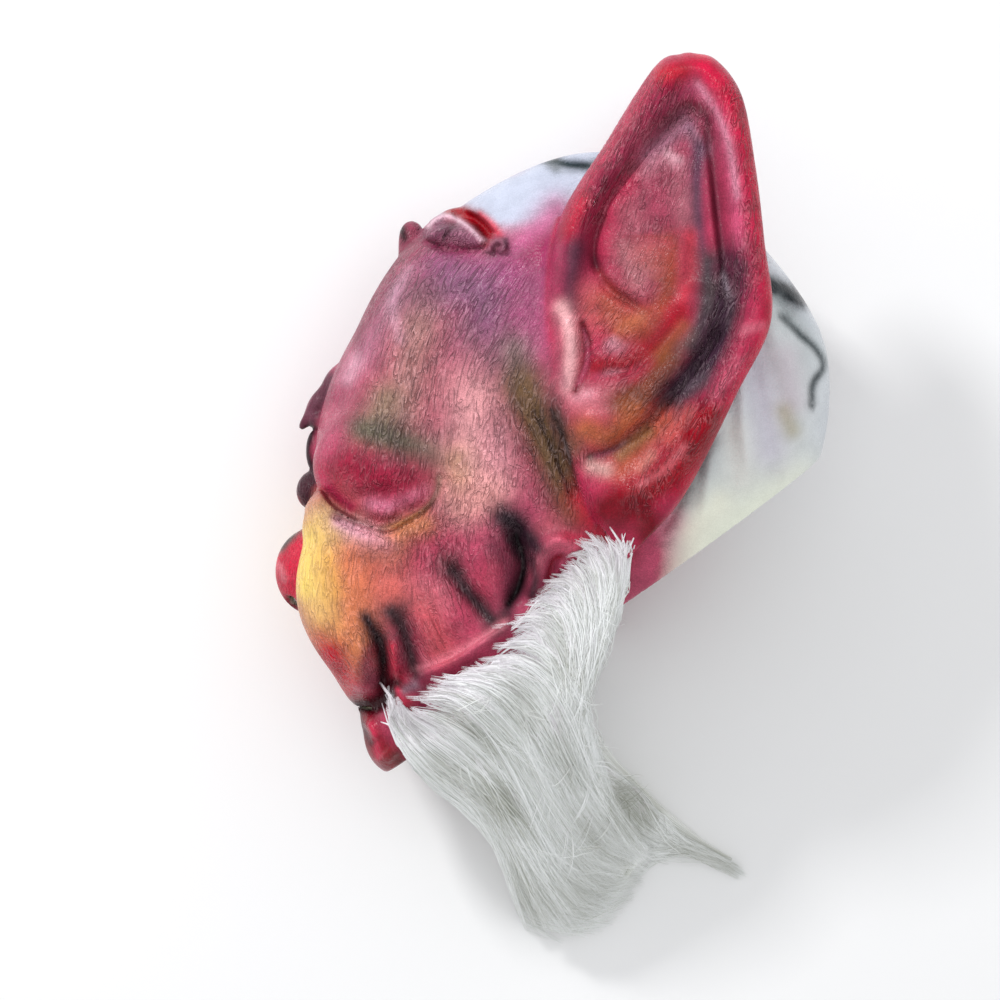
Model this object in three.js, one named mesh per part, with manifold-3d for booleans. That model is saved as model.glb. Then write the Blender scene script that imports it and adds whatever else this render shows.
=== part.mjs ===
// Monster mask: an over-the-head mask cast in latex, with two large pointed ears and a beard of
// white hair glued along each jaw. It is empty and lies on its right side, one ear pressed flat
// under it. Units are millimetres. +Z is up from the floor, +X runs to the back of the head and
// +Y to the crown.
import * as THREE from 'three';
import { mergeVertices } from 'three/addons/utils/BufferGeometryUtils.js';
import Module from 'manifold-3d';

const wasm = await Module();
wasm.setup();

// Driving dimensions
const WALL = 3;                       // thickness of the cast latex
const GAP = 0.3;                      // air left between pieces that touch
const CENTRE_HEIGHT = 82;             // middle of the head above the floor
const FLOOR = -CENTRE_HEIGHT;         // floor as seen from the head's middle
const ROLL = THREE.MathUtils.degToRad(8);   // the face sinks a little as the mask lies
const PRESS_ROUNDING = 8;             // rounding where the latex is flattened on the floor
const FURTHEST = 240;                 // no point of the head is further from its middle

// The cut that a head goes in through: a plane facing down and back
const OPENING_NORMAL = [0.591, -0.8065];
const OPENING_OFFSET = 92.5;

// Forms of the head, in the mask's own frame: x back, y up, z to the left ear.
// A paired form stands on both sides of the face. turn is in degrees, in the profile plane.
const FORMS = [
  { name: 'skull', at: [19, 16, 0], half: [118, 121, 76], blend: 0 },
  { name: 'forehead', at: [-68, 24, 0], half: [74, 38, 56], turn: 63, blend: 26 },
  { name: 'face', at: [-46, -46, 0], half: [78, 92, 62], blend: 22 },
  { name: 'jaw', at: [-42, -106, 0], half: [60, 72, 54], turn: -24, blend: 24 },
  { name: 'chin', at: [-84, -160, 0], half: [18, 21, 26], blend: 14 },
  { name: 'muzzle', at: [-101, -118, 0], half: [17, 26, 30], blend: 16 },
  { name: 'cheek', at: [-92, -84, 30], half: [38, 44, 32], blend: 18, paired: true },
  { name: 'brow', at: [-82.5, -18.5, 40], half: [37, 27, 26], turn: 12, blend: 13, paired: true },
  { name: 'frown', at: [-118, 2, 0], half: [13, 22, 16], turn: -28, blend: 10 },
  { name: 'bridge', at: [-114, -46, 0], half: [14, 22, 12], turn: -6, blend: 9 },
  { name: 'nose', at: [-128, -78, 0], half: [21, 21, 18], blend: 9 },
];

// Flat place behind the crown, where the empty latex sags: a plane, in the mask's own frame
const SLUMP = { normal: [0.746, 0.665], offset: 137, blend: 16 };

// Lumps on the skin where the forehead meets the bald crown, in the mask's own frame
const LUMPS = [
  { name: 'left_flap', at: [-56, 96, 22], half: [17, 9, 12], turn: 34 },
  { name: 'right_flap', at: [-56, 96, -22], half: [17, 9, 12], turn: 34 },
  { name: 'wart', at: [-77, 96, 0], half: [7, 9, 8], turn: 30 },
];

// Holes through the face, in the mask's own frame
const HOLES = [
  { name: 'left_eye', at: [-112, -44, 26], half: [40, 8, 13] },
  { name: 'right_eye', at: [-112, -44, -26], half: [40, 8, 13] },
  { name: 'mouth', at: [-100, -144, 0], half: [30, 6.5, 26] },
];

// Ear, seen from the left side and measured from the middle of the head: its front edge and its
// back edge from the lobe to the tip
const EAR_FRONT = [
  [28, -69], [13, -42], [3, -5], [-4, 24], [-7, 57], [-1, 97], [21, 134], [45, 171], [59, 177],
];
const EAR_BACK = [
  [31, -70], [58, -38], [83, 11], [99, 46], [96, 84], [92, 121], [86, 155], [74, 173], [62, 177],
];
const EAR_PLATE = 5;                  // thickness of the ear behind its hollows
const EAR_STAND = { front: 77, slope: 0.2, bow: 0.0006 };         // how the upper ear stands out
const EAR_ROOT = { x: -6, reach: 28, depth: 2, below: -56, above: 96 };    // where it grows on
const RIM = { height: 7, inset: 10, width: 8 };                   // rolled edge of the ear
const PRESSED_EAR = { thickness: 9, hollow: 4 };                  // the ear under the head

// Folds of the ear: each is a round ridge, or a furrow where its height is negative
const EAR_FOLDS = [
  { name: 'antihelix', height: 8, width: 12, path: [[13, -6], [37, 6], [56, 22], [66, 42], [70, 66]] },
  { name: 'crevice', height: -5, width: 8, path: [[17, -24], [38, -10], [61, 12], [80, 44]] },
  { name: 'concha', height: -4, width: 15, path: [[24, 30], [34, 40]] },
  { name: 'panel', height: 4, width: 22, path: [[46, 76], [52, 100], [56, 120]] },
  { name: 'tragus', height: 5, width: 7, path: [[1, 52], [4, 32], [8, 13]] },
];

// Beards: two edges that the hair runs between, root to tip, each point with its height above
// the floor, and half the thickness of the hair between them
const LEFT_BEARD = {
  name: 'left_beard',
  overJaw: true,
  near: [[-88, -144, 100], [-82, -172, 92], [-64, -196, 72], [-42, -226, 44], [-23, -246, 26],
    [-18, -264, 13], [0, -277, 7]],
  far: [[33, -66, 138], [29, -92, 132], [15, -126, 112], [8, -154, 88], [23, -186, 59],
    [48, -226, 30], [20, -272, 7]],
  thick: [9, 12, 16, 17, 15, 13, 7],
};
const RIGHT_BEARD = {
  name: 'right_beard',
  overJaw: false,
  near: [[-70, -138, 24], [-38, -166, 17], [-6, -188, 11], [24, -206, 8], [52, -219, 6],
    [78, -231, 4], [100, -243, 2]],
  far: [[14, -96, 24], [10, -122, 17], [14, -150, 11], [32, -177, 8], [56, -203, 6],
    [80, -226, 4], [102, -242, 2]],
  thick: [8, 8, 7, 6, 5, 4, 2],
};

// Mesh steps
const HEAD_ROUND = 50;
const HEAD_ACROSS = 24;
const STANDING_STEPS = 34;
const STANDING_SHARES = [0, 0.04, 0.1, 0.17, 0.25, 0.35, 0.46, 0.57, 0.67, 0.76, 0.84, 0.91, 0.96, 1];
const PRESSED_STEPS = 16;
const PRESSED_SHARES = [0, 0.04, 0.15, 0.32, 0.5, 0.68, 0.85, 0.96, 1];
const BEARD_STEPS = 12;
const BEARD_ROUND = 22;

// A rounded union of two distances
function smoothMin(a, b, rounding) {
  if (rounding === 0) return Math.min(a, b);
  const share = Math.max(rounding - Math.abs(a - b), 0) / rounding;
  return Math.min(a, b) - (share * share * rounding) / 4;
}

// Distance from a point to one of the head's forms, negative inside it
function formDistance(form, x, y, z) {
  const turn = THREE.MathUtils.degToRad(form.turn ?? 0);
  const dx = x - form.at[0];
  const dy = y - form.at[1];
  const dz = (form.paired ? Math.abs(z) : z) - form.at[2];
  const along = Math.cos(turn) * dx + Math.sin(turn) * dy;
  const aside = Math.cos(turn) * dy - Math.sin(turn) * dx;
  const [a, b, c] = form.half;
  const reach = Math.hypot(along / a, aside / b, dz / c);
  const slope = Math.hypot(along / (a * a), aside / (b * b), dz / (c * c));
  return slope < 1e-9 ? -Math.min(a, b, c) : (reach * (reach - 1)) / slope;
}

// Distance to the whole head's skin from a point given from the head's middle, floor below
function headDistance(x, y, z) {
  const own = toMask([x, y, z]);
  let nearest = Infinity;
  for (const form of FORMS) nearest = smoothMin(nearest, formDistance(form, ...own), form.blend);
  const slump = SLUMP.offset - SLUMP.normal[0] * own[0] - SLUMP.normal[1] * own[1];
  nearest = -smoothMin(-nearest, slump, SLUMP.blend);
  return -smoothMin(-nearest, z - FLOOR, PRESS_ROUNDING);
}

function toMask([x, y, z]) {
  return [x * Math.cos(ROLL) + z * Math.sin(ROLL), y, z * Math.cos(ROLL) - x * Math.sin(ROLL)];
}

// The outermost point of the head, less inset, on a line from start along a direction
function skinPoint(start, direction, inset) {
  const at = (r) => start.map((value, i) => value + direction[i] * r);
  const inside = (r) => headDistance(...at(r)) < -inset;
  let low = FURTHEST;
  while (low > 0 && !inside(low)) low -= 2;
  let high = low + 2;
  for (let step = 0; step < 24; step++) {
    const middle = (low + high) / 2;
    if (inside(middle)) low = middle;
    else high = middle;
  }
  return at(low);
}

// A solid from rows of points round a tube, closed by a point at each end
function closedTube(rows, first, last) {
  const round = rows[0].length;
  const points = [first, ...rows.flat(), last];
  const faces = [];
  const index = (row, i) => 1 + row * round + (i % round);
  for (let i = 0; i < round; i++) {
    faces.push(0, index(0, i + 1), index(0, i));
    faces.push(points.length - 1, index(rows.length - 1, i), index(rows.length - 1, i + 1));
    for (let row = 0; row + 1 < rows.length; row++) {
      faces.push(index(row, i), index(row, i + 1), index(row + 1, i));
      faces.push(index(row, i + 1), index(row + 1, i + 1), index(row + 1, i));
    }
  }
  return solid(points.flat(), faces);
}

// A solid from vertices and faces, turned right way out
function solid(vertices, faces) {
  const build = (order) => new wasm.Manifold(new wasm.Mesh({
    numProp: 3,
    vertProperties: new Float32Array(vertices),
    triVerts: new Uint32Array(order),
  }));
  const made = build(faces);
  if (made.volume() > 0) return made;
  const turned = faces.slice();
  for (let i = 0; i < turned.length; i += 3) [turned[i + 1], turned[i + 2]] = [turned[i + 2], turned[i + 1]];
  return build(turned);
}

// A solid from one of three.js's closed geometries
function solidOf(geometry) {
  geometry.deleteAttribute('normal');
  geometry.deleteAttribute('uv');
  const merged = mergeVertices(geometry);
  return solid(merged.attributes.position.array, merged.index.array);
}

function geometryOf(made) {
  const mesh = made.getMesh();
  const geometry = new THREE.BufferGeometry();
  geometry.setAttribute('position', new THREE.BufferAttribute(mesh.vertProperties.slice(), 3));
  geometry.setIndex(new THREE.BufferAttribute(mesh.triVerts.slice(), 1));
  geometry.computeVertexNormals();
  return geometry;
}

// Angles round the profile, closer together over the face than over the back of the head
function profileAngle(share) {
  const turn = share * 2 * Math.PI;
  return THREE.MathUtils.degToRad(205) + turn - 0.42 * Math.sin(turn);
}

// Angles across the head, closer together over the middle of the face than under the ears
function acrossAngle(share) {
  const turn = 2 * share - 1;
  return (Math.PI / 2) * turn * (0.76 + 0.24 * turn * turn);
}

// The head as one closed solid, its skin moved in by inset. Its poles are under the ears.
function headSolid(inset) {
  const middle = [-6, -14, 0];
  const rows = [];
  for (let row = 1; row < HEAD_ACROSS; row++) {
    const across = acrossAngle(row / HEAD_ACROSS);
    const ring = [];
    for (let i = 0; i < HEAD_ROUND; i++) {
      const round = profileAngle(i / HEAD_ROUND);
      const direction = [
        Math.cos(across) * Math.cos(round), Math.cos(across) * Math.sin(round), Math.sin(across),
      ];
      ring.push(skinPoint(middle, direction, inset));
    }
    rows.push(ring);
  }
  return closedTube(rows, skinPoint(middle, [0, 0, -1], inset), skinPoint(middle, [0, 0, 1], inset));
}

// Everything beyond the neck opening, as one large block
function beyondOpening(offset) {
  const size = 400;
  const block = new THREE.BoxGeometry(size, size, size);
  const angle = Math.atan2(OPENING_NORMAL[1], OPENING_NORMAL[0]);
  block.translate(offset + size / 2, 0, 0);
  block.rotateZ(angle);
  return solidOf(block);
}

// An ellipsoid at a place given in the mask's own frame, turned in the profile plane
function ellipsoid({ at, half, turn = 0 }) {
  const ball = new THREE.SphereGeometry(1, 16, 10);
  ball.scale(...half);
  ball.rotateZ(THREE.MathUtils.degToRad(turn));
  ball.translate(...at);
  ball.rotateY(-ROLL);
  return solidOf(ball);
}

// The ear's two edges at steps along it from its lobe to its tip, a little closer at both ends
function earStations(steps) {
  const curves = [EAR_FRONT, EAR_BACK].map((edge) => new THREE.CatmullRomCurve3(
    edge.map(([x, y]) => new THREE.Vector3(x, y, 0)), false, 'centripetal',
  ));
  return Array.from({ length: steps + 1 }, (_, step) => {
    const eased = (1 - Math.cos((step / steps) * Math.PI)) / 2;
    return curves.map((curve) => curve.getPoint((step / steps + eased) / 2));
  });
}

const earEdge = [
  ...earStations(STANDING_STEPS).map(([front]) => [front.x, front.y]),
  ...earStations(STANDING_STEPS).map(([, back]) => [back.x, back.y]).reverse(),
];

// Distance in the plane from a point to a path of straight lines
function pathDistance(path, x, y, closed) {
  let nearest = Infinity;
  for (let i = 0; i + (closed ? 0 : 1) < path.length; i++) {
    const [ax, ay] = path[i];
    const [bx, by] = path[(i + 1) % path.length];
    const length2 = (bx - ax) ** 2 + (by - ay) ** 2;
    const share = THREE.MathUtils.clamp(((x - ax) * (bx - ax) + (y - ay) * (by - ay)) / length2, 0, 1);
    nearest = Math.min(nearest, Math.hypot(x - ax - share * (bx - ax), y - ay - share * (by - ay)));
  }
  return nearest;
}

// Height of the ear's folds over its plate
function earRelief(x, y) {
  const edge = pathDistance(earEdge, x, y, true);
  let height = RIM.height * Math.exp(-(((edge - RIM.inset) / RIM.width) ** 2));
  for (const fold of EAR_FOLDS) {
    height += fold.height * Math.exp(-((pathDistance(fold.path, x, y, false) / fold.width) ** 2));
  }
  return height;
}

// How much the ear belongs to its root, where it grows from the head
function rootShare(x, y) {
  const low = THREE.MathUtils.smoothstep(y, EAR_ROOT.below - 10, EAR_ROOT.below + 10);
  const high = 1 - THREE.MathUtils.smoothstep(y, EAR_ROOT.above - 14, EAR_ROOT.above + 14);
  return low * high * (1 - THREE.MathUtils.smoothstep(x, EAR_ROOT.x, EAR_ROOT.x + EAR_ROOT.reach));
}

// Front and back heights of the upper ear, which stands away from the head behind its root
function standingEar(x, y) {
  const plate = EAR_STAND.front + EAR_STAND.slope * (x - EAR_ROOT.x) - EAR_STAND.bow * (y - 24) ** 2;
  const skin = skinPoint([x, y, 0], [0, 0, 1], EAR_ROOT.depth)[2];
  const back = plate - EAR_PLATE;
  return [plate + earRelief(x, y), THREE.MathUtils.lerp(back, Math.min(skin, back), rootShare(x, y))];
}

// The same for the lower ear, which is flattened between the head and the floor: its rim and its
// other high places lie flat on the floor
function pressedEar(x, y) {
  const top = FLOOR + PRESSED_EAR.thickness;
  const hollow = THREE.MathUtils.clamp(RIM.height / 2 - earRelief(x, y), 0, PRESSED_EAR.hollow);
  const skin = skinPoint([x, y, 0], [0, 0, -1], EAR_ROOT.depth)[2];
  return [FLOOR + hollow, THREE.MathUtils.lerp(top, Math.max(skin, top), rootShare(x, y))];
}

// One ear as a closed solid: at each station a ring along its front and back again
function earSolid(heights, steps, shares) {
  const stations = earStations(steps);
  const at = ([front, back], share, side) => {
    const { x, y } = front.clone().lerp(back, share);
    return [x, y, heights(x, y)[side]];
  };
  const edge = (station, share) => {
    const [x, y, front] = at(station, share, 0);
    return [x, y, (front + at(station, share, 1)[2]) / 2];
  };
  const inner = shares.slice(1, -1);
  const rows = stations.slice(1, -1).map((station) => [
    edge(station, 0),
    ...inner.map((share) => at(station, share, 0)),
    edge(station, 1),
    ...inner.toReversed().map((share) => at(station, share, 1)),
  ]);
  return closedTube(rows, edge(stations[0], 0.5), edge(stations.at(-1), 0.5));
}

// The latex shell: head and ears as one casting, hollow, open at the neck, eyes and mouth
function maskSolid() {
  let shell = headSolid(0)
    .add(earSolid(standingEar, STANDING_STEPS, STANDING_SHARES))
    .add(earSolid(pressedEar, PRESSED_STEPS, PRESSED_SHARES));
  for (const lump of LUMPS) shell = shell.add(ellipsoid(lump));
  shell = shell.subtract(headSolid(WALL)).subtract(beyondOpening(OPENING_OFFSET));
  for (const hole of HOLES) shell = shell.subtract(ellipsoid(hole));
  return shell;
}

// Height of the head's skin over a place, or none where the line misses the mask
function skinHeight(x, y) {
  if (OPENING_NORMAL[0] * x + OPENING_NORMAL[1] * y > OPENING_OFFSET) return -Infinity;
  if (headDistance(x, y, 0) > 0) return -Infinity;
  return skinPoint([x, y, 0], [0, 0, 1], 0)[2];
}

// A beard as a closed, flattened bundle between its two edges. The left one lies over the jaw at
// its root, and neither goes below the floor.
function beardSolid({ overJaw, near, far, thick }) {
  const curveOf = (points) => new THREE.CatmullRomCurve3(points.map((p) => new THREE.Vector3(...p)));
  const [nearCurve, farCurve] = [curveOf(near), curveOf(far)];
  const thickness = curveOf(thick.map((half, i) => [half, i, 0]));
  const rows = [];
  for (let step = 0; step <= BEARD_STEPS; step++) {
    const share = step / BEARD_STEPS;
    const [a, b] = [nearCurve.getPoint(share), farCurve.getPoint(share)];
    const half = thickness.getPoint(share).x;
    const ring = [];
    for (let i = 0; i < BEARD_ROUND; i++) {
      const angle = (i / BEARD_ROUND) * 2 * Math.PI;
      const { x, y, z } = a.clone().lerp(b, (1 - Math.cos(angle)) / 2);
      const under = overJaw ? skinHeight(x, y) : -Infinity;
      const height = Math.max(z + FLOOR, under + 3) + half * Math.sin(angle);
      ring.push([x, y, Math.max(FLOOR, height)]);
    }
    rows.push(ring);
  }
  const middleOf = (ring) => [0, 1, 2].map((k) => ring.reduce((sum, p) => sum + p[k], 0) / ring.length);
  return closedTube(rows, middleOf(rows[0]), middleOf(rows.at(-1)));
}

const latexLook = new THREE.MeshStandardMaterial({ color: 0xb4405c, roughness: 0.42, metalness: 0 });
const hairLook = new THREE.MeshStandardMaterial({ color: 0xc9cdc8, roughness: 0.5, metalness: 0 });

function piece(name, made, look) {
  const mesh = new THREE.Mesh(geometryOf(made), look);
  mesh.name = name;
  return mesh;
}

const keepClear = headSolid(-GAP).subtract(beyondOpening(OPENING_OFFSET + GAP));

const mask = new THREE.Group();
mask.add(piece('latex_mask', maskSolid(), latexLook));
for (const beard of [LEFT_BEARD, RIGHT_BEARD]) {
  mask.add(piece(beard.name, beardSolid(beard).subtract(keepClear), hairLook));
}
mask.position.z = CENTRE_HEIGHT;

// The origin is on the floor under the middle of the whole
const middle = new THREE.Box3().setFromObject(mask, true).getCenter(new THREE.Vector3());
mask.position.x = -middle.x;
mask.position.y = -middle.y;

const part = new THREE.Group();
part.add(mask);
export default part;
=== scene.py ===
"""Looks of the monster mask: a cast latex shell in airbrushed colours with a beard on each jaw.

The mask lies on its right side and is seen from straight above, its left ear uppermost. Sizes are
in millimetres until a mesh is made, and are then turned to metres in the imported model's frame.
"""

import itertools
import logging
import math
from dataclasses import dataclass, field
from enum import Enum
from typing import Sequence

import bmesh
import bpy
import numpy as np
from bpy.types import Material, Node, NodeSocket, NodeTree, Object
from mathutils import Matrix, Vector

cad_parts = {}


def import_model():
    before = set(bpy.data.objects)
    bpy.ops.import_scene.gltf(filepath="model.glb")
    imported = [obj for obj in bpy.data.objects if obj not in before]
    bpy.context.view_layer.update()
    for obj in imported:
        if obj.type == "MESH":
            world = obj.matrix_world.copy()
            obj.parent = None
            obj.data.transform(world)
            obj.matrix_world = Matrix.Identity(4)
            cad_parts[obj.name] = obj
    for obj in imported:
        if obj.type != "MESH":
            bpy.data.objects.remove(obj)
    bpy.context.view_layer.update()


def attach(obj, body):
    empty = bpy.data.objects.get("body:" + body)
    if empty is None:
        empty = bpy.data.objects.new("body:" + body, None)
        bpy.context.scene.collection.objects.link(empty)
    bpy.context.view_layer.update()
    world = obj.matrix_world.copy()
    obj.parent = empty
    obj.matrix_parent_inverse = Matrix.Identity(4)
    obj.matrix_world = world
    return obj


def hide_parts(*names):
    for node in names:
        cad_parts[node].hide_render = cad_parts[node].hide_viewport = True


LOG = logging.getLogger("monster_mask")
MM = 0.001

MIDDLE = np.array([5.733, 50.0, 82.0])      # middle of the head in the frame
ROLL = math.radians(8.0)                    # the face sinks a little as the mask lies
FLOOR = -82.0                               # floor as seen from the head's middle
WALL = 3.0                                  # thickness of the latex
OPENING_NORMAL = (0.591, -0.8065)           # the neck is cut off in one plane
OPENING_OFFSET = 92.5
SLUMP_NORMAL = (0.746, 0.665)               # where the empty latex sags behind the crown
SLUMP_OFFSET = 137.0
CROWN_NORMAL = (-0.507, 0.862)              # the flatter slope between the forehead and the crown
CROWN_OFFSET = 124.2
CROWN_FRONT = (-62.0, -48.0)                # where that slope starts, over the forehead
CROWN_EASE = 12.0                           # how far the slope keeps off before that
SAG_ROUNDING = 16.0
FLOOR_ROUNDING = 8.0

Array = np.ndarray
Colour = tuple[float, float, float]
Triple = tuple[float, float, float]
Path = Sequence[tuple[float, float]]
Own = tuple[Array, Array, Array]            # x, y and z of points in the mask's own frame


def srgb(code: int) -> Colour:
    """Turns a display colour, two hex digits a channel, into the linear colour that shaders use."""
    channels = np.array([code >> 16, code >> 8 & 255, code & 255]) / 255.0
    linear = np.where(channels <= 0.04045, channels / 12.92, ((channels + 0.055) / 1.055) ** 2.4)
    return tuple(float(c) for c in linear)


def smooth_step(low: float, high: float, value: Array) -> Array:
    """Eases from 0 at low to 1 at high."""
    share = np.clip((value - low) / (high - low), 0.0, 1.0)
    return share * share * (3.0 - 2.0 * share)


def smooth_min(a: Array, b: Array, rounding: float) -> Array:
    """A rounded union of two distance fields."""
    share = np.maximum(rounding - np.abs(a - b), 0.0) / rounding
    return np.minimum(a, b) - share * share * (rounding * 0.25)


def smooth_max(a: Array, b: Array, rounding: float) -> Array:
    """A rounded overlap of two distance fields."""
    return -smooth_min(-a, -b, rounding)


def turned(x: Array, y: Array, angle: float) -> tuple[Array, Array]:
    """Turns places in a plane round its origin."""
    return x * math.cos(angle) - y * math.sin(angle), x * math.sin(angle) + y * math.cos(angle)


def read_grid(values: Array, column: Array, row: Array) -> Array:
    """Reads a grid of values between its points, blending the nearest four.

    Args:
        values: Rows and columns of values, each a number or a row of channels.
        column: Places along the rows; those outside the grid are brought to its edge.
        row: Places along the columns.

    Returns:
        What the grid holds at each place.
    """
    rows, columns = values.shape[:2]
    u, v = np.clip(column, 0, columns - 1.001), np.clip(row, 0, rows - 1.001)
    i, j = u.astype(int), v.astype(int)
    u, v = u - i, v - j
    if values.ndim == 3:
        u, v = u[:, None], v[:, None]
    upper = values[j, i] * (1 - u) + values[j, i + 1] * u
    lower = values[j + 1, i] * (1 - u) + values[j + 1, i + 1] * u
    return upper * (1 - v) + lower * v


def spline(path: Path, spacing: float) -> Array:
    """Smooths a path of points into a dense curve.

    Args:
        path: Points that the curve passes through.
        spacing: Distance between the points of the result.

    Returns:
        An array of points, one row each.
    """
    points = np.array(path, float)
    if len(points) < 3:
        count = max(2, int(np.linalg.norm(points[-1] - points[0]) / spacing) + 1)
        return points[0] + np.linspace(0, 1, count)[:, None] * (points[-1] - points[0])
    ends = np.vstack([2 * points[0] - points[1], points, 2 * points[-1] - points[-2]])
    dense = []
    for i in range(1, len(ends) - 2):
        p0, p1, p2, p3 = ends[i - 1:i + 3]
        count = max(2, int(np.linalg.norm(p2 - p1) / spacing))
        t = np.linspace(0, 1, count, endpoint=False)[:, None]
        dense.append(0.5 * (2 * p1 + (p2 - p0) * t + (2 * p0 - 5 * p1 + 4 * p2 - p3) * t ** 2
                            + (3 * p1 - p0 - 3 * p2 + p3) * t ** 3))
    return np.vstack(dense + [points[-1:]])


@dataclass(frozen=True)
class PictureView:
    """The view from straight above, in which carved and painted strokes are placed."""

    centre: tuple[float, float] = (-24.52, 10.25)
    height: float = 1500.0
    reference: float = 110.0
    scale: float = 0.5
    size: int = 1000
    sensor: float = 36.0

    def place(self, points: Array) -> Array:
        """Gives the picture places of points measured from the head's middle.

        Args:
            points: One row of x, y and z each, in millimetres.

        Returns:
            One row of across and down each, in picture elements.
        """
        step = self.scale * (self.height - points[:, 2] - MIDDLE[2]) / (self.height - self.reference)
        across = self.size / 2 + (points[:, 0] + MIDDLE[0] - self.centre[0]) / step
        down = self.size / 2 - (points[:, 1] + MIDDLE[1] - self.centre[1]) / step
        return np.stack([across, down], 1)

    def spot(self, places: Array, level: Array) -> Array:
        """Finds the points at given heights that show at picture places."""
        step = self.scale * (self.height - level - MIDDLE[2]) / (self.height - self.reference)
        x = (places[:, 0] - self.size / 2) * step + self.centre[0] - MIDDLE[0]
        y = (self.size / 2 - places[:, 1]) * step + self.centre[1] - MIDDLE[1]
        return np.stack([x, y, level], 1)

    def lens(self) -> float:
        """Gives the focal length that shows the whole frame at the reference height."""
        return self.sensor * (self.height - self.reference) / (self.scale * self.size)


VIEW = PictureView()


class Profile(Enum):
    """How a stroke's height falls off from its middle line."""

    ROUND = "round"
    SHELF = "shelf"


@dataclass(frozen=True)
class Stroke:
    """One stroke of a carving tool or an airbrush, along a path in the picture's view."""

    path: Path
    width: float
    amount: float
    profile: Profile = Profile.ROUND
    taper: float = 0.25


class Canvas:
    """A sheet in the picture's view that strokes are laid on, read back at any place."""

    def __init__(self, channels: int = 1) -> None:
        """Makes an empty sheet the size of the picture."""
        self.size = VIEW.size
        self.values = np.zeros((self.size, self.size, channels), np.float32)

    def cover(self, stroke: Stroke) -> tuple[tuple[slice, slice], Array]:
        """Works out where a stroke lies and how strong it is there.

        Args:
            stroke: The stroke to lay.

        Returns:
            The window of the sheet that it touches, and its strength in that window.
        """
        curve = spline(stroke.path, 2.0)
        margin = 2.6 * stroke.width + 2
        low = np.maximum(np.floor(curve.min(0) - margin).astype(int), 0)
        high = np.minimum(np.ceil(curve.max(0) + margin).astype(int), self.size)
        across, down = np.meshgrid(np.arange(low[0], high[0]) + 0.5, np.arange(low[1], high[1]) + 0.5)
        best = np.full(across.shape, 1e9, np.float32)
        share = np.zeros(across.shape, np.float32)
        side = np.zeros(across.shape, np.float32)
        direction = np.gradient(curve, axis=0)
        for i, (point, way) in enumerate(zip(curve, direction)):
            gap = (across - point[0]) ** 2 + (down - point[1]) ** 2
            nearer = gap < best
            best[nearer] = gap[nearer]
            share[nearer] = i / max(len(curve) - 1, 1)
            turn = way[0] * (down - point[1]) - way[1] * (across - point[0])
            side[nearer] = np.sign(turn)[nearer]
        distance = np.sqrt(best)
        strength = np.exp(-(distance / stroke.width) ** 2)
        if stroke.profile is Profile.SHELF:
            strength = strength * smooth_step(-3.0, 3.0, -side * distance)
        if stroke.taper > 0:
            strength = strength * smooth_step(0, stroke.taper, share)
            strength = strength * smooth_step(0, stroke.taper, 1 - share)
        return (slice(low[1], high[1]), slice(low[0], high[0])), strength

    def raise_by(self, stroke: Stroke) -> None:
        """Adds a stroke's height to the sheet."""
        window, strength = self.cover(stroke)
        self.values[window][..., 0] += stroke.amount * strength

    def paint(self, stroke: Stroke, colour: Colour) -> None:
        """Lays a stroke of colour over what is there."""
        window, strength = self.cover(stroke)
        share = np.clip(strength * stroke.amount, 0, 1)[..., None]
        self.values[window] = self.values[window] * (1 - share) + np.array(colour, np.float32) * share

    def sunk(self, reach: int) -> "Canvas":
        """Gives a copy that keeps only the hollows, each widened.

        Args:
            reach: How far the hollows are widened, in picture elements.

        Returns:
            The widened hollows, nowhere above zero.
        """
        wide = Canvas()
        low = np.minimum(self.values[..., 0], 0)
        best = low.copy()
        for down in range(-reach, reach + 1):
            for across in range(-reach, reach + 1):
                if across * across + down * down <= reach * reach:
                    np.minimum(best, np.roll(low, (down, across), (0, 1)), out=best)
        wide.values[..., 0] = best
        return wide

    def read(self, places: Array) -> Array:
        """Reads the sheet at picture places, one row of channels each."""
        return read_grid(self.values, places[:, 0] - 0.5, places[:, 1] - 0.5)


@dataclass(frozen=True)
class Form:
    """One ellipsoid of the head, in the mask's own frame: x back, y up, z to the left ear."""

    name: str
    at: Triple
    half: Triple
    blend: float
    turn: float = 0.0
    paired: bool = False
    bend: float = 0.0

    def distance(self, own: Own) -> Array:
        """Gives the distance to the form, negative inside it."""
        x, y, z = own
        dz = (np.abs(z) if self.paired else z) - self.at[2]
        dy = y - self.at[1] + self.bend * dz * dz
        along, aside = turned(x - self.at[0], dy, -math.radians(self.turn))
        a, b, c = self.half
        near = (along / a) ** 2 + (aside / b) ** 2 + (dz / c) ** 2
        slope = (along / (a * a)) ** 2 + (aside / (b * b)) ** 2 + (dz / (c * c)) ** 2
        reach = np.sqrt(near)
        return reach * (reach - 1.0) / np.sqrt(np.maximum(slope, 1e-9))


BASE_FORMS = (
    Form("skull", (19, 16, 0), (118, 121, 76), 1),
    Form("forehead", (-68, 24, 0), (74, 38, 56), 26, 63),
    Form("face", (-46, -46, 0), (78, 92, 62), 22),
    Form("jaw", (-42, -106, 0), (60, 72, 54), 24, -24),
    Form("chin", (-82.5, -160, 0), (18, 21, 26), 14),
    Form("muzzle", (-101, -117, 0), (16, 25, 30), 16),
    Form("cheek", (-92, -84, 30), (38, 44, 32), 18, 0, True),
    Form("brow", (-82.5, -18.5, 40), (37, 27, 26), 13, 12, True),
    Form("frown", (-104.5, 6, 0), (14, 36, 30), 12, -16),
    Form("bridge", (-114, -46, 0), (14, 22, 12), 9, -6),
    Form("nose", (-127.5, -76.5, 0), (20, 22.5, 18), 8),
)

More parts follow.
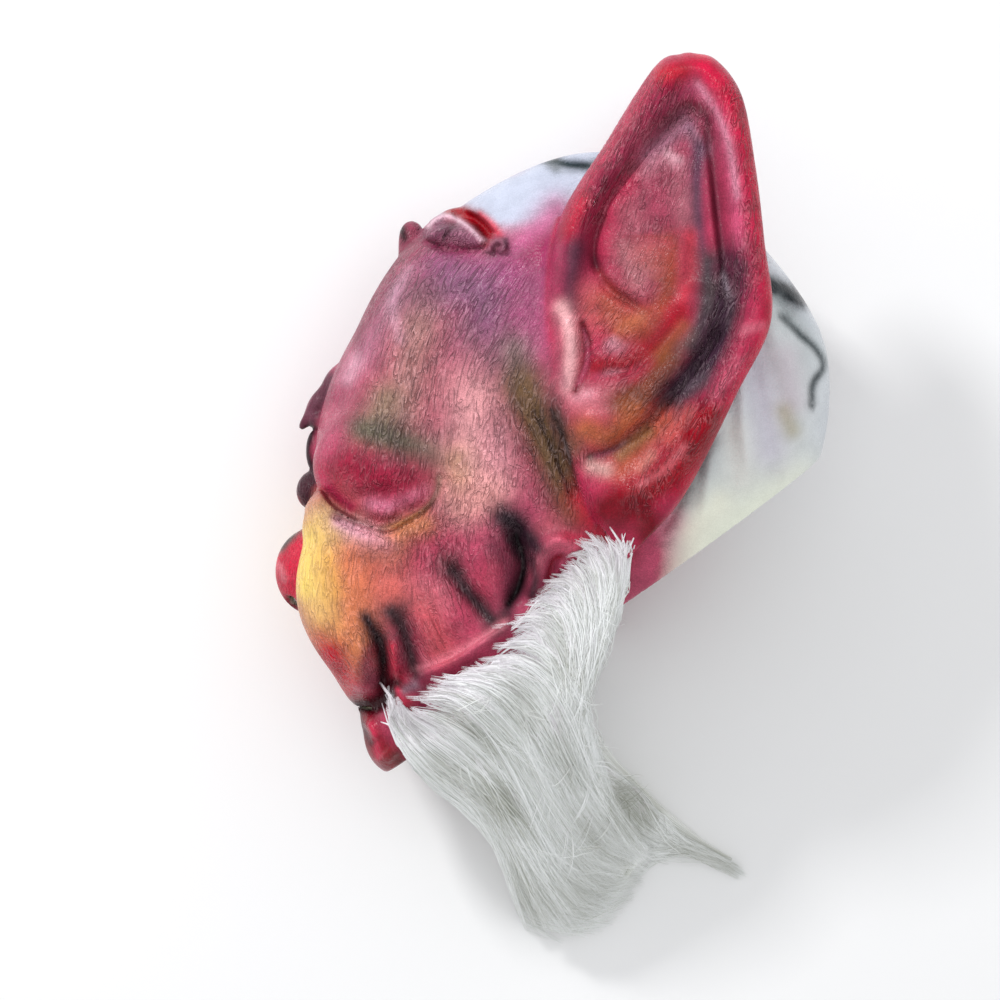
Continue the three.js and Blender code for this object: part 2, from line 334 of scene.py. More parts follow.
CARVED_FORMS = (
    Form("frown_spike", (-116.3, 21.5, 0), (11, 5.6, 7), 3, 57),
    Form("spike_middle", (-124.8, 10.5, 0), (10, 5, 6), 3, 55),
    Form("spike_tip", (-130.2, 2.8, 0), (7.5, 2.8, 3.6), 2.5, 52),
    Form("spike_root", (-124.5, 1.5, 0), (6, 5, 7), 2),
    Form("frown_strand", (-127, -14.5, 0), (4.6, 11, 6), 2),
    Form("frown_knob", (-127, -34.5, 0), (9.4, 10.5, 11), 2, -18),
    Form("upper_lid", (-104, -36, 27), (12, 7, 18), 4, 10, True),
    Form("eye_bag", (-112, -56, 28), (12, 8, 18), 5, 0, True),
    Form("nostril_wing", (-121, -90, 14), (12, 9, 8), 4, 0, True),
    Form("upper_lip", (-96, -135, 0), (12, 5, 26), 4, 22),
    Form("lower_lip", (-91, -150, 0), (10, 5.5, 22), 5, 30),
    Form("lip_corner", (-71, -136, 44), (9, 12, 8), 2.5, 0, True),
    Form("wart", (-76.5, 96, 0), (6.5, 9, 8), 2, 10),
    Form("wart_root", (-77, 88, 0), (6, 9, 9), 3, 4),
)

HOLES = (
    Form("eye_hole", (-112, -45, 26), (40, 6.5, 12), 2.0, 0, True),
    Form("mouth_hole", (-99, -143, 0), (26, 1.2, 24), 0.6, 21, False, 0.02),
    Form("nostril", (-138, -93, 8), (8, 4, 4), 2.0, 40, True),
)


def own_frame(points: Array) -> Own:
    """Turns points from the lying frame into the mask's own frame."""
    x, z = turned(points[:, 0], points[:, 2], -ROLL)
    return x, points[:, 1], z


FACE_CARVING = (
    # deep crease behind the cheek, with a small rolled lobe on its ear side
    Stroke([(500, 516), (514, 540), (520, 562), (516, 586), (506, 612)], 17, -3.5),
    Stroke([(508, 514), (518, 540), (523, 562), (520, 582), (510, 602), (505, 616)], 7.5, -5),
    Stroke([(526, 604), (535, 575), (542, 554), (556, 541), (573, 546), (584, 556)], 8.5, 8),
    Stroke([(562, 558), (554, 562), (548, 584)], 4, -4),
    Stroke([(563, 566), (558, 592)], 5, -3),
    Stroke([(484, 540), (494, 580), (484, 600)], 14, 3),
    # slanting furrow of the cheek
    Stroke([(446, 558), (463, 586), (478, 606), (495, 625)], 13, -3.6),
    Stroke([(448, 562), (464, 588), (480, 608), (494, 622)], 6, -1.8),
    Stroke([(428, 580), (446, 610), (462, 632)], 14, 2.2),
    # furrows and ridge beside the mouth
    Stroke([(364, 618), (378, 637), (384, 667), (384, 700)], 11, -4),
    Stroke([(370, 624), (381, 642), (386, 668), (385, 700)], 6, -4),
    Stroke([(356, 640), (358, 680), (352, 696)], 10, 2.5),
    Stroke([(391, 634), (394, 668), (396, 702)], 5.5, 4.5),
    Stroke([(395, 605), (405, 628), (412, 656), (418, 684)], 9, -4.5),
    Stroke([(393, 692), (383, 700), (370, 707), (356, 710)], 8, -6.5, taper=0.12),
    Stroke([(364, 720), (370, 730), (377, 742)], 7, 3),
    Stroke([(360, 721), (366, 733), (371, 744)], 3.5, -3),
    Stroke([(382, 752), (394, 762)], 12, 3),
    Stroke([(420, 640), (440, 630)], 24, 3),
    # lower edge of the cheek over the jaw
    Stroke([(516, 618), (488, 636), (456, 657), (430, 668), (410, 674)], 18, 6, Profile.SHELF, 0.1),
    Stroke([(512, 632), (490, 648), (456, 669), (420, 684)], 8, -3.5),
    Stroke([(401, 684), (407, 698), (412, 709)], 10, 5),
    Stroke([(396, 704), (404, 716), (414, 720)], 4, -4),
    # bag of the brow and the crease under it
    Stroke([(437, 470), (434, 492), (423, 507), (406, 517), (385, 527), (356, 519), (333, 506), (318, 486)],
           30, 11, Profile.SHELF, 0.08),
    Stroke([(440, 476), (438, 495), (427, 511), (408, 523), (385, 533), (352, 525), (328, 511)], 5, -6,
           taper=0.08),
    Stroke([(366, 508), (384, 513), (400, 506)], 7, 3),
    Stroke([(404, 503), (424, 492)], 9, 2.5),
    Stroke([(352, 506), (360, 496), (380, 492), (402, 492)], 7, -1.5),
    # folds at the temple
    Stroke([(512, 400), (532, 440), (552, 480), (566, 515)], 3.5, -2.4),
    Stroke([(526, 392), (546, 432), (566, 478), (578, 510)], 3.5, -2.6),
    Stroke([(520, 440), (536, 470), (552, 505)], 3, -2),
    Stroke([(556, 440), (570, 476), (580, 500)], 2.5, -2.2),
    Stroke([(530, 470), (545, 498), (556, 520)], 2.5, -1.8),
    Stroke([(548, 405), (566, 450), (578, 490), (584, 520)], 7, -3),
    Stroke([(534, 505), (524, 530), (512, 520)], 4, -1.5),
    # pad on the crown, with a thin upper rim, the hollow crescent behind it and a curled lobe
    Stroke([(421, 236), (438, 231), (454, 232), (470, 237), (488, 244)], 9, 6, taper=0.12),
    Stroke([(422, 240), (436, 245), (450, 249.5), (466, 250), (486, 247)], 3.5, -3, taper=0.12),
    Stroke([(428, 226), (436, 219), (446, 216), (458, 219.5), (470, 228), (482, 240)], 3, 3.5, taper=0.1),
    Stroke([(450, 228), (444, 238)], 3, -2),
    Stroke([(452, 213), (465, 215), (476, 221), (485, 230), (489, 239)], 7, -8, taper=0.12),
    Stroke([(464, 210), (478, 213), (489, 221), (497, 232)], 4, 3, taper=0.1),
    Stroke([(489, 254), (490, 246), (496, 241), (503, 242), (504, 248), (497, 253)], 3.5, 5, taper=0.1),
    # pleats of the bald latex
    Stroke([(762, 300), (778, 350), (796, 410), (802, 452)], 11, 4),
    Stroke([(748, 340), (758, 400), (772, 460), (778, 492)], 9, -3.4),
    Stroke([(742, 370), (744, 430), (752, 486)], 7, 3.5),
    Stroke([(728, 404), (730, 450), (736, 500)], 6, -1.8),
    Stroke([(712, 436), (708, 480), (702, 524)], 7, 3),
    Stroke([(774, 292), (792, 316), (812, 340)], 8, -4),
    Stroke([(782, 318), (800, 335), (818, 352), (822, 368), (812, 384), (812, 404)], 5, -3.5),
    Stroke([(756, 470), (786, 462), (806, 440)], 6, -2.5),
    Stroke([(690, 470), (676, 506), (656, 540)], 5, -3),
    Stroke([(706, 430), (696, 452), (684, 474)], 12, -3),
    Stroke([(544, 157), (566, 166), (596, 168)], 6, -3),
)

EAR_CARVING = (
    # groove round the inner panel, deepest under the rolled rim
    Stroke([(600, 278), (594, 258), (595, 235), (606, 204), (627, 174), (648, 148), (668, 126), (684, 112),
            (702, 110)], 10, -3.2, taper=0.08),
    Stroke([(602, 280), (595, 258), (596, 235), (608, 204), (629, 175), (650, 150), (668, 129), (684, 116),
            (700, 116)], 4, -3.5, taper=0.06),
    Stroke([(700, 108), (711, 135), (717, 180), (723, 230), (729, 275), (734, 305)], 8, -4.5, taper=0.1),
    Stroke([(700, 120), (705, 155), (709, 195), (714, 242), (720, 275)], 5, 2.6, taper=0.1),
    Stroke([(606, 222), (620, 192), (642, 166), (664, 142), (684, 126), (698, 128)], 6, 2.6, taper=0.12),
    Stroke([(597, 272), (609, 288), (626, 299), (648, 311)], 4.5, -4),
    Stroke([(604, 262), (616, 278), (634, 290), (654, 300)], 8, 2.5),
    Stroke([(655, 230), (668, 180), (685, 140)], 24, 3),
    Stroke([(672, 300), (692, 270), (698, 200)], 8, -2),
    # the roll that crosses the ear, and the crevice below it
    Stroke([(566, 412), (592, 418), (620, 412), (644, 396), (674, 366), (696, 334), (706, 300), (708, 280)],
           21, 9, taper=0.1),
    Stroke([(582, 458), (604, 454), (622, 444), (646, 424), (666, 400), (688, 374), (710, 346), (724, 322)],
           7, -6, taper=0.08),
    Stroke([(586, 380), (606, 374), (634, 368), (656, 352), (682, 322), (694, 296)], 6, -3, taper=0.1),
    # bowl of the ear and the small flap before it
    Stroke([(600, 330), (626, 345), (650, 330)], 20, -4),
    Stroke([(561, 302), (568, 324), (571, 345), (570, 366), (566, 392)], 10, 6, taper=0.5),
    Stroke([(580, 320), (587, 342), (586, 364), (575, 391)], 4.5, -6, taper=0.15),
    # swelling of the lower rim towards the lobe
    Stroke([(720, 400), (690, 440), (650, 480), (622, 520)], 14, 4),
    Stroke([(640, 480), (618, 500), (606, 530)], 16, 3),
    Stroke([(664, 430), (640, 452), (612, 466)], 8, -2),
)

EAR_FRONT = ((28, -69), (13, -42), (3, -5), (-4, 24), (-7, 57), (-1, 97), (21, 134), (45, 171), (59, 177))
EAR_BACK = ((31, -70), (58, -38), (83, 11), (99, 46), (96, 84), (92, 121), (86, 155), (74, 173), (62, 177))


class SheetMap:
    """Values over the plane of the ears, read back at any place."""

    def __init__(self, low: tuple[float, float], high: tuple[float, float]) -> None:
        """Makes the places of a sheet with one value a millimetre."""
        self.low = np.array(low, float)
        self.x, self.y = np.meshgrid(np.arange(low[0], high[0] + 1.0), np.arange(low[1], high[1] + 1.0))

    def read(self, values: Array, x: Array, y: Array) -> Array:
        """Reads a sheet of values at places in the plane."""
        return read_grid(values, x - self.low[0], y - self.low[1])


@dataclass
class Ears:
    """Both ears: the upper one stands off the head, the lower one is pressed flat under it."""

    plate: float = 4.5                            # thickness behind the hollows
    thinnest: float = 4.0
    front: float = 77.0                           # how far the upper ear stands out
    slope: float = 0.2
    bow: float = 0.0006
    centre: tuple[float, float] = (-6.0, 24.0)
    rim_height: float = 8.5
    rim_inset: float = 9.5
    rim_fall: tuple[float, float] = (7.5, 9.0)    # inside and outside its crest
    free_above: tuple[float, float] = (44.0, 74.0)      # the rim rises where the ear leaves the head
    free_behind: tuple[float, float] = (22.0, 46.0)
    pressed: float = 9.0                          # thickness of the lower ear
    sink: float = 3.5                             # how deep the hollows of its face are
    edge: tuple[float, float] = (7.0, 5.0)        # rounding of the upper and the lower outline
    sheet: SheetMap = field(init=False)

    def __post_init__(self) -> None:
        """Works out the outline, the heights of both faces and their slopes."""
        self.sheet = SheetMap((-40, -95), (125, 200))
        x, y = self.sheet.x, self.sheet.y
        outline = np.vstack([spline(EAR_FRONT, 1.5), spline(EAR_BACK, 1.5)[::-1]])
        self.outline = self.signed_distance(outline, x, y).astype(np.float32)
        plate = self.front + self.slope * (x - self.centre[0]) - self.bow * (y - self.centre[1]) ** 2
        places = VIEW.place(np.stack([x.ravel(), y.ravel(), plate.ravel() + 3], 1))
        carving = Canvas()
        for stroke in EAR_CARVING:
            carving.raise_by(stroke)
        relief = carving.read(places)[:, 0].reshape(x.shape)
        inset = -self.outline - self.rim_inset
        rim = self.rim_height * np.exp(-(inset / np.where(inset > 0, *self.rim_fall)) ** 2)
        behind = smooth_step(*self.free_behind, x + 0.28 * np.minimum(y, 0))
        free = 1 - (1 - smooth_step(*self.free_above, y)) * (1 - behind)
        self.face = (plate + rim * free + relief).astype(np.float32)
        self.back = np.minimum(plate - self.plate, self.face - self.thinnest).astype(np.float32)
        self.relief = (rim * free + relief).astype(np.float32)
        self.steep = self.steepness(self.face)
        low = smooth_step(-66, -46, y) * (1 - smooth_step(80, 110, y)) * (1 - smooth_step(-6, 24, x))
        self.root = low.astype(np.float32)

    @staticmethod
    def steepness(heights: Array) -> Array:
        """Gives how much longer a height is than the distance to the surface, at most threefold."""
        dy, dx = np.gradient(heights)
        return np.minimum(np.sqrt(1 + dx * dx + dy * dy), 3.0).astype(np.float32)

    @staticmethod
    def signed_distance(outline: Array, x: Array, y: Array) -> Array:
        """Gives the distance in the plane to a closed outline, negative inside it."""
        best = np.full(x.shape, 1e9)
        inside = np.zeros(x.shape, bool)
        for a, b in zip(outline, np.roll(outline, -1, 0)):
            run = b - a
            length = max(float(run @ run), 1e-9)
            share = np.clip(((x - a[0]) * run[0] + (y - a[1]) * run[1]) / length, 0, 1)
            best = np.minimum(best, np.hypot(x - a[0] - share * run[0], y - a[1] - share * run[1]))
            if a[1] != b[1]:
                crosses = ((a[1] > y) != (b[1] > y)) & (x < a[0] + (y - a[1]) / (b[1] - a[1]) * run[0])
                inside ^= crosses
        return np.where(inside, -best, best)

    def distance(self, points: Array) -> tuple[Array, Array]:
        """Gives the distances to the upper and the lower ear, negative inside them."""
        x, y, z = points.T
        outline, face, steep, back, root, relief = (self.sheet.read(values, x, y) for values in (
            self.outline, self.face, self.steep, self.back, self.root, self.relief))
        upper = smooth_max(outline, (z - face) / steep, self.edge[0])
        upper = smooth_max(upper, back - root * 40 - z, 1.2)
        hollow = np.clip(self.sink - relief, 0, 4)
        lower = smooth_max(outline, z - (FLOOR + self.pressed) - root * 10, self.edge[1])
        lower = smooth_max(lower, FLOOR + hollow - z, 2.0)
        return upper, lower


class MaskSurface:
    """The whole latex shell as a distance field, negative inside the latex."""

    ear_roundings = (7.0, 5.0)     # where the upper and the lower ear grow on
    edge_rounding = 1.5
    uncarved, carved = 8.0, 30.0   # strokes fade out towards the middle of the face

    def __init__(self) -> None:
        """Lays out the carving of the face and the ears."""
        self.ears = Ears()
        self.carving = Canvas()
        for stroke in FACE_CARVING:
            self.carving.raise_by(stroke)
        self.hollows = self.carving.sunk(5)

    @staticmethod
    def union(forms: Sequence[Form], own: Own, start: Array | None = None) -> Array:
        """Joins forms, each with its own rounding, to a field or to the first of them."""
        joined = start
        for form in forms:
            distance = form.distance(own)
            joined = distance if joined is None else smooth_min(joined, distance, form.blend)
        return joined

    @staticmethod
    def left_places(points: Array) -> tuple[Array, Array]:
        """Gives the picture places of points, those of the right side mirrored to the left.

        Args:
            points: Points measured from the head's middle.

        Returns:
            The places, and how far each point is to the side of the face's middle.
        """
        x, y, z = own_frame(points)
        aside = np.abs(z)
        x, z = turned(x, aside, ROLL)
        return VIEW.place(np.stack([x, y, z], 1)), aside

    @staticmethod
    def rest(distance: Array, own: Own, height: Array) -> Array:
        """Sags a head's distance behind the crown, evens its slope and flattens it on the floor."""
        slump = SLUMP_NORMAL[0] * own[0] + SLUMP_NORMAL[1] * own[1] - SLUMP_OFFSET
        crown = CROWN_NORMAL[0] * own[0] + CROWN_NORMAL[1] * own[1] - CROWN_OFFSET
        crown = crown - CROWN_EASE * (1 - smooth_step(*CROWN_FRONT, own[0]))
        sagged = smooth_max(distance, np.maximum(slump, crown), SAG_ROUNDING)
        return smooth_max(sagged, FLOOR - height, FLOOR_ROUNDING)

    def layers(self, points: Array) -> dict[str, Array]:
        """Gives the distances to the lining, the carved head, and both ears.

        Args:
            points: Points measured from the head's middle.

        Returns:
            The distances by name; the lining is the head's skin as its inside follows it.
        """
        own = own_frame(points)
        base = self.union(BASE_FORMS, own)
        carved = self.union(CARVED_FORMS, own, base)
        places, aside = self.left_places(points)
        middle = smooth_step(self.uncarved, self.carved, aside)
        relief = self.carving.read(places)[:, 0] * middle
        hollow = self.hollows.read(places)[:, 0] * middle
        upper, lower = self.ears.distance(points)
        return {"lining": self.rest(base - hollow, own, points[:, 2]),
                "head": self.rest(carved - relief, own, points[:, 2]), "upper": upper, "lower": lower}

    def distance(self, points: Array) -> Array:
        """Gives the distance to the latex, negative inside it."""
        layer = self.layers(points)
        own = own_frame(points)
        whole = smooth_min(layer["head"], layer["upper"], self.ear_roundings[0])
        whole = smooth_min(whole, layer["lower"], self.ear_roundings[1])
        whole = np.maximum(whole, -(layer["lining"] + WALL))
        edge = OPENING_NORMAL[0] * points[:, 0] + OPENING_NORMAL[1] * points[:, 1] - OPENING_OFFSET
        whole = smooth_max(whole, edge, self.edge_rounding)
        for hole in HOLES:
            whole = smooth_max(whole, -hole.distance(own), hole.blend)
        return whole


BARE_LATEX = srgb(0xD6DBE8)
LINING_LATEX = srgb(0xCEC8B6)

# Airbrush work on the head, with painted light and shade among it, laid in this order: path, width, strength
# and colour
HEAD_PAINT = (
    # bald latex of the crown and the nape
    ([(700, 290), (770, 380), (750, 460), (690, 530)], 70, 0.85, 0xD8DDD8),
    # near-white stroke on the nape: painted light where the surface turns away from the lamps
    ([(640, 600), (720, 540), (800, 490)], 34, 1.0, 0xF0F4E2),
    ([(752, 350), (764, 400), (770, 450)], 22, 0.6, 0xD8D0E2),
    # lighter stroke over the pleat: painted light
    ([(734, 430), (742, 476)], 14, 0.6, 0xF0EEE8),
    ([(786, 356), (794, 402)], 14, 0.55, 0xCCBAC6),
    # near-white stroke low on the nape: painted light
    ([(688, 532), (718, 504)], 15, 0.6, 0xFEFEE8),
    ([(776, 300), (800, 330), (826, 356)], 14, 0.4, 0xBEC8C6),
    ([(784, 412), (792, 430)], 10, 0.5, 0xB0A270),
    ([(768, 284), (784, 291), (802, 299)], 9.5, 1.4, 0x1A2026),
    ([(782, 316), (800, 334), (818, 352), (823, 367), (813, 384), (812, 406)], 4, 0.9, 0x2C383C),
    ([(780, 300), (790, 318)], 8, 0.4, 0x788284),
    # grey line beside the pleat: painted shade
    ([(712, 440), (694, 486), (664, 530)], 10, 0.45, 0x686664),
    ([(668, 520), (650, 545), (640, 560)], 16, 0.75, 0xDE8AA0),
    # rose ground of the face
    ([(412, 262), (430, 330), (430, 440), (425, 560), (410, 680), (400, 760)], 84, 6, 0xB04662),
    ([(500, 290), (540, 380), (560, 470), (560, 560), (600, 560)], 50, 4, 0xB24864),
    ([(330, 470), (310, 560), (330, 640)], 40, 4, 0xB0465E),
    ([(400, 180), (470, 196), (530, 196), (580, 150), (620, 120)], 22, 2.5, 0xBEC4D6),
    ([(540, 154), (548, 157), (566, 164), (602, 167)], 5.5, 1.1, 0x223036),
    ([(548, 161), (556, 168)], 6, 0.8, 0x465054),
    # pink overspray where the face ends
    ([(500, 262), (530, 238), (556, 210)], 15, 0.75, 0xCE70A0),
    ([(500, 290), (540, 262), (570, 232)], 23, 1.2, 0x942A54),
    # forehead
    ([(430, 262), (470, 268), (510, 274)], 16, 0.7, 0xA04474),
    ([(450, 285), (484, 300), (482, 345)], 38, 0.85, 0x7C5272),
    ([(425, 300), (400, 290)], 24, 0.6, 0x805464),
    # lavender-pink sheen on the upper-left forehead: painted highlight
    ([(392, 296), (372, 330), (362, 350)], 20, 0.65, 0xA8708A),
    ([(418, 330), (408, 380), (402, 410)], 26, 0.7, 0xAC847A),
    ([(530, 290), (526, 345)], 26, 0.75, 0xA24E78),
    # dark crimson along the forehead's edge: partly its paint, partly painted shade where it turns away
    ([(398, 250), (374, 296), (346, 350), (330, 396)], 13, 0.9, 0x862846),
    # lighter pink down the forehead's left side and a pale spot at its top: painted highlights
    ([(350, 366), (342, 400), (334, 440)], 14, 0.5, 0xBE5876),
    ([(356, 362), (348, 378)], 9, 0.6, 0xE0A8BC),
    ([(470, 360), (450, 380)], 26, 0.5, 0xBE7078),
    ([(400, 340), (392, 300), (410, 268)], 6, 0.35, 0xC8A0B4),
    # brow: olive over crimson
    ([(384, 400), (378, 425)], 18, 0.65, 0x8A8062),
    ([(362, 430), (396, 440), (428, 452)], 19, 0.95, 0x5C5C4A),
    ([(412, 455), (430, 462)], 14, 0.7, 0x544842),
    ([(326, 480), (345, 466), (380, 480), (422, 484)], 22, 1.0, 0x9A1C3A),
    ([(332, 500), (352, 514), (372, 520)], 9, 0.8, 0xAC284A),
    ([(322, 450), (330, 430)], 14, 0.6, 0xB24666),
    # pale pink along the bag's lower edge: painted highlight
    ([(370, 504), (390, 507)], 7, 0.75, 0xCC708E),
    ([(402, 502), (424, 492)], 8, 0.5, 0xC46E88),
    # dark lines in the crease under the bag: painted shade
    ([(322, 492), (334, 507), (356, 520), (372, 526)], 3.5, 1.0, 0x680E22),
    ([(380, 529), (396, 525), (410, 519), (426, 508), (437, 492), (439, 478)], 4, 1.1, 0x522E1C),
    # cheek: lilac, yellow and orange
    ([(330, 522), (360, 534), (388, 550)], 15, 0.9, 0xE0ACB2),
    ([(322, 528), (312, 560), (322, 600), (338, 640)], 27, 1.1, 0xEEC076),
    ([(306, 540), (302, 562), (306, 588)], 13, 0.9, 0xF8D66E),
    ([(328, 560), (334, 590)], 14, 0.6, 0xF4C454),
    ([(392, 548), (404, 532), (424, 526)], 14, 0.75, 0xE29E5C),
    ([(338, 521), (362, 534), (388, 548)], 9, 0.85, 0xE0A6BE),
    ([(320, 476), (334, 494), (350, 507)], 8, 1.0, 0xB82C52),
    # the crease's dark line again: painted shade
    ([(322, 492), (334, 507), (356, 520)], 2.5, 0.9, 0x680E22),
    ([(356, 566), (356, 610), (346, 656)], 26, 0.85, 0xE28056),
    ([(390, 560), (396, 590)], 26, 0.7, 0xDC705C),
    ([(320, 640), (336, 676), (352, 706)], 14, 0.7, 0xCE544A),
    ([(330, 656), (341, 680), (352, 700)], 15, 1.2, 0xBE0E24),
    ([(440, 560), (462, 620), (430, 652)], 36, 0.8, 0xBC425E),
    ([(480, 590), (500, 560)], 18, 0.5, 0xBE3A54),
    ([(424, 606), (440, 650)], 18, 0.5, 0xDE6260),
    ([(422, 584), (440, 598)], 16, 0.35, 0xD27A84),
    # temple
    ([(474, 400), (470, 440), (474, 480)], 30, 0.85, 0xE6A4A6),
    ([(500, 440), (498, 480)], 18, 0.5, 0xE0A0A8),
    ([(458, 462), (462, 492)], 16, 0.55, 0xCCA476),
    ([(460, 506), (488, 492)], 20, 0.95, 0xEEA4A0),
    ([(514, 350), (524, 396)], 18, 0.75, 0x7A7068),
    ([(522, 385), (540, 430), (558, 468), (574, 508)], 23, 1.1, 0x684D36),
    ([(556, 415), (574, 460), (584, 500)], 10, 0.8, 0x3A3022),
    ([(534, 410), (552, 450), (568, 492)], 1.8, 0.8, 0x281C16),
    ([(552, 410), (568, 452), (582, 500)], 2.2, 0.9, 0x221612),
    ([(528, 444), (544, 480), (558, 506)], 1.6, 0.7, 0x3C241E),
    ([(560, 395), (580, 430)], 14, 0.5, 0x58423E),
    # ear base, rolled lobe
    ([(584, 500), (600, 530), (616, 545)], 20, 0.9, 0xB01C34),
    # bright pink on top of the rolled lobe: painted highlight
    ([(533, 572), (542, 553), (556, 543), (574, 548)], 8.5, 1.2, 0xE86882),
    ([(538, 530), (552, 524)], 10, 0.6, 0xC8606E),
    ([(561, 556), (553, 560), (548, 578)], 3, 0.9, 0x920C22),
    ([(566, 536), (580, 540)], 6, 0.6, 0xD23250),
    ([(545, 600), (560, 578)], 10, 0.6, 0xB03C58),
    # furrows, darkened with black
    ([(502, 516), (518, 526), (536, 548)], 14, 0.95, 0x2C202A),
    ([(510, 522), (520, 548)], 12, 0.85, 0x221822),
    ([(494, 548), (508, 566), (512, 590)], 10, 0.6, 0x422C38),
    ([(512, 540), (523, 562), (520, 584), (510, 602), (504, 622)], 9, 0.9, 0x2C1822),
    ([(516, 536), (524, 562), (520, 584), (509, 604)], 3.5, 1.2, 0x0E060A),
    ([(532, 560), (535, 578), (532, 596)], 6, 0.9, 0x341E28),
    ([(446, 560), (454, 572)], 12, 0.6, 0x5A3E3E),
    ([(454, 572), (467, 590), (482, 608), (497, 628)], 10.5, 0.95, 0x3A282E),
    ([(462, 588), (478, 606), (492, 620)], 4, 0.6, 0x1E141A),
    ([(366, 618), (373, 630), (380, 642), (384, 668), (384, 684)], 9, 1.0, 0x28181E),
    ([(376, 640), (384, 664), (384, 696)], 4, 1.1, 0x12080C),
    ([(370, 650), (365, 668), (371, 690)], 8, 0.8, 0x803042),
    ([(391, 612), (401, 626), (408, 645), (413, 664), (419, 682)], 10.5, 0.95, 0x32242A),
    ([(406, 604), (400, 614)], 9, 0.6, 0x463438),
    ([(392, 646), (394, 668), (396, 702)], 4.5, 1.0, 0xB82C42),
    # mouth, lip corner and chin
    ([(392, 693), (382, 701), (370, 708), (356, 710)], 8.5, 1.2, 0x3E0A16),
    ([(398, 676), (404, 692), (408, 708)], 10, 1.0, 0x9E2038),
    ([(404, 690), (418, 684)], 6, 0.8, 0x806A78),
    ([(362, 724), (374, 745), (392, 762)], 17, 1.2, 0x840C20),
    # crimson on the lower lip: painted highlight
    ([(371, 724), (374, 738), (378, 756)], 4, 0.9, 0xCE3856),
    ([(358, 716), (364, 730), (371, 743)], 3.5, 0.9, 0x460816),
    ([(396, 756), (404, 768)], 8, 0.6, 0x603C3A),
    ([(394, 684), (388, 696), (374, 704), (354, 707)], 8, 1.3, 0x38000C),
    ([(352, 698), (364, 692), (380, 688)], 4, 0.7, 0x781828),
    # bright crimson on the lip corner: painted highlight
    ([(398, 690), (402, 704)], 3, 0.7, 0xD63E5C),
    ([(357, 690), (368, 689)], 6, 0.6, 0xC4586E),
    ([(370, 664), (374, 680)], 6, 0.45, 0x9E4A60),
    # jaw edge: painted shade under its shelf, then a painted highlight along its top
    ([(424, 682), (456, 670), (492, 652), (506, 640)], 7, 0.85, 0x9C304C),
    ([(420, 668), (456, 652), (488, 634), (504, 622)], 4.5, 0.65, 0xE28292),
    # flap and wart on the crown
    ([(426, 234), (450, 231), (478, 240), (488, 246)], 11, 1.1, 0x965470),
    ([(440, 226), (452, 224)], 7, 0.7, 0x603E4E),
    ([(452, 226), (444, 238)], 2.5, 0.9, 0x461A2C),
    ([(424, 240), (440, 247), (460, 250), (486, 247)], 3, 0.9, 0x7E2848),
    ([(450, 212), (465, 214), (478, 222), (487, 232), (490, 242)], 7.5, 1.4, 0x9E0418),
    ([(476, 228), (486, 240)], 3.5, 1.0, 0x540210),
    ([(480, 214), (492, 224), (500, 236)], 4, 0.8, 0xD23246),
    # pale line on the pad's upper rim: painted highlight
    ([(428, 226), (436, 219), (446, 216), (458, 219.5), (470, 228), (482, 240)], 2.6, 1.0, 0xE8BECE),
    ([(490, 250), (496, 242), (504, 243), (502, 250)], 6, 1.0, 0x96586E),
    ([(506, 240), (507, 247)], 2.5, 0.9, 0x422236),
    ([(492, 256), (500, 251)], 2.5, 0.8, 0x602840),
    ([(410, 224), (412, 244)], 13, 1.0, 0x8E3E54),
    # dark spot for the wart's hollow: painted shade
    ([(402, 229), (404, 238)], 4.5, 1.2, 0x340E1A),
)

# What stands out from the middle of the face, and the airbrush work on it, with painted highlights and shade
# among it
MIDDLE_FORMS = ("nose", "frown_spike", "spike_middle", "spike_tip", "spike_root", "frown_strand",
                "frown_knob")
MIDDLE_PAINT = (
    ([(327, 380), (315, 406), (304, 427)], 8.5, 1.6, 0x643444),
    # lighter line on the glossy spike: painted highlight
    ([(318, 398), (309, 414)], 2.5, 0.5, 0x784C5C),
    ([(311, 430), (306, 450), (309, 468)], 5, 1.4, 0x2E0E1C),
    ([(312, 474), (304, 488), (304, 503)], 10, 1.5, 0x3E1A26),
    ([(296, 500), (299, 507)], 3.2, 1.1, 0xB01432),
    ([(292, 548), (284, 575), (290, 602)], 24, 1.6, 0xC82240),
    ([(297, 530), (288, 540), (281, 548)], 5, 1.0, 0x4E4844),
    # dark underside of the nose: painted shade
    ([(282, 604), (304, 608)], 6, 0.9, 0x540C1A),
    # pink spot on the nose: painted highlight
    ([(280, 566), (284, 580)], 3.5, 0.6, 0xE28C96),
)
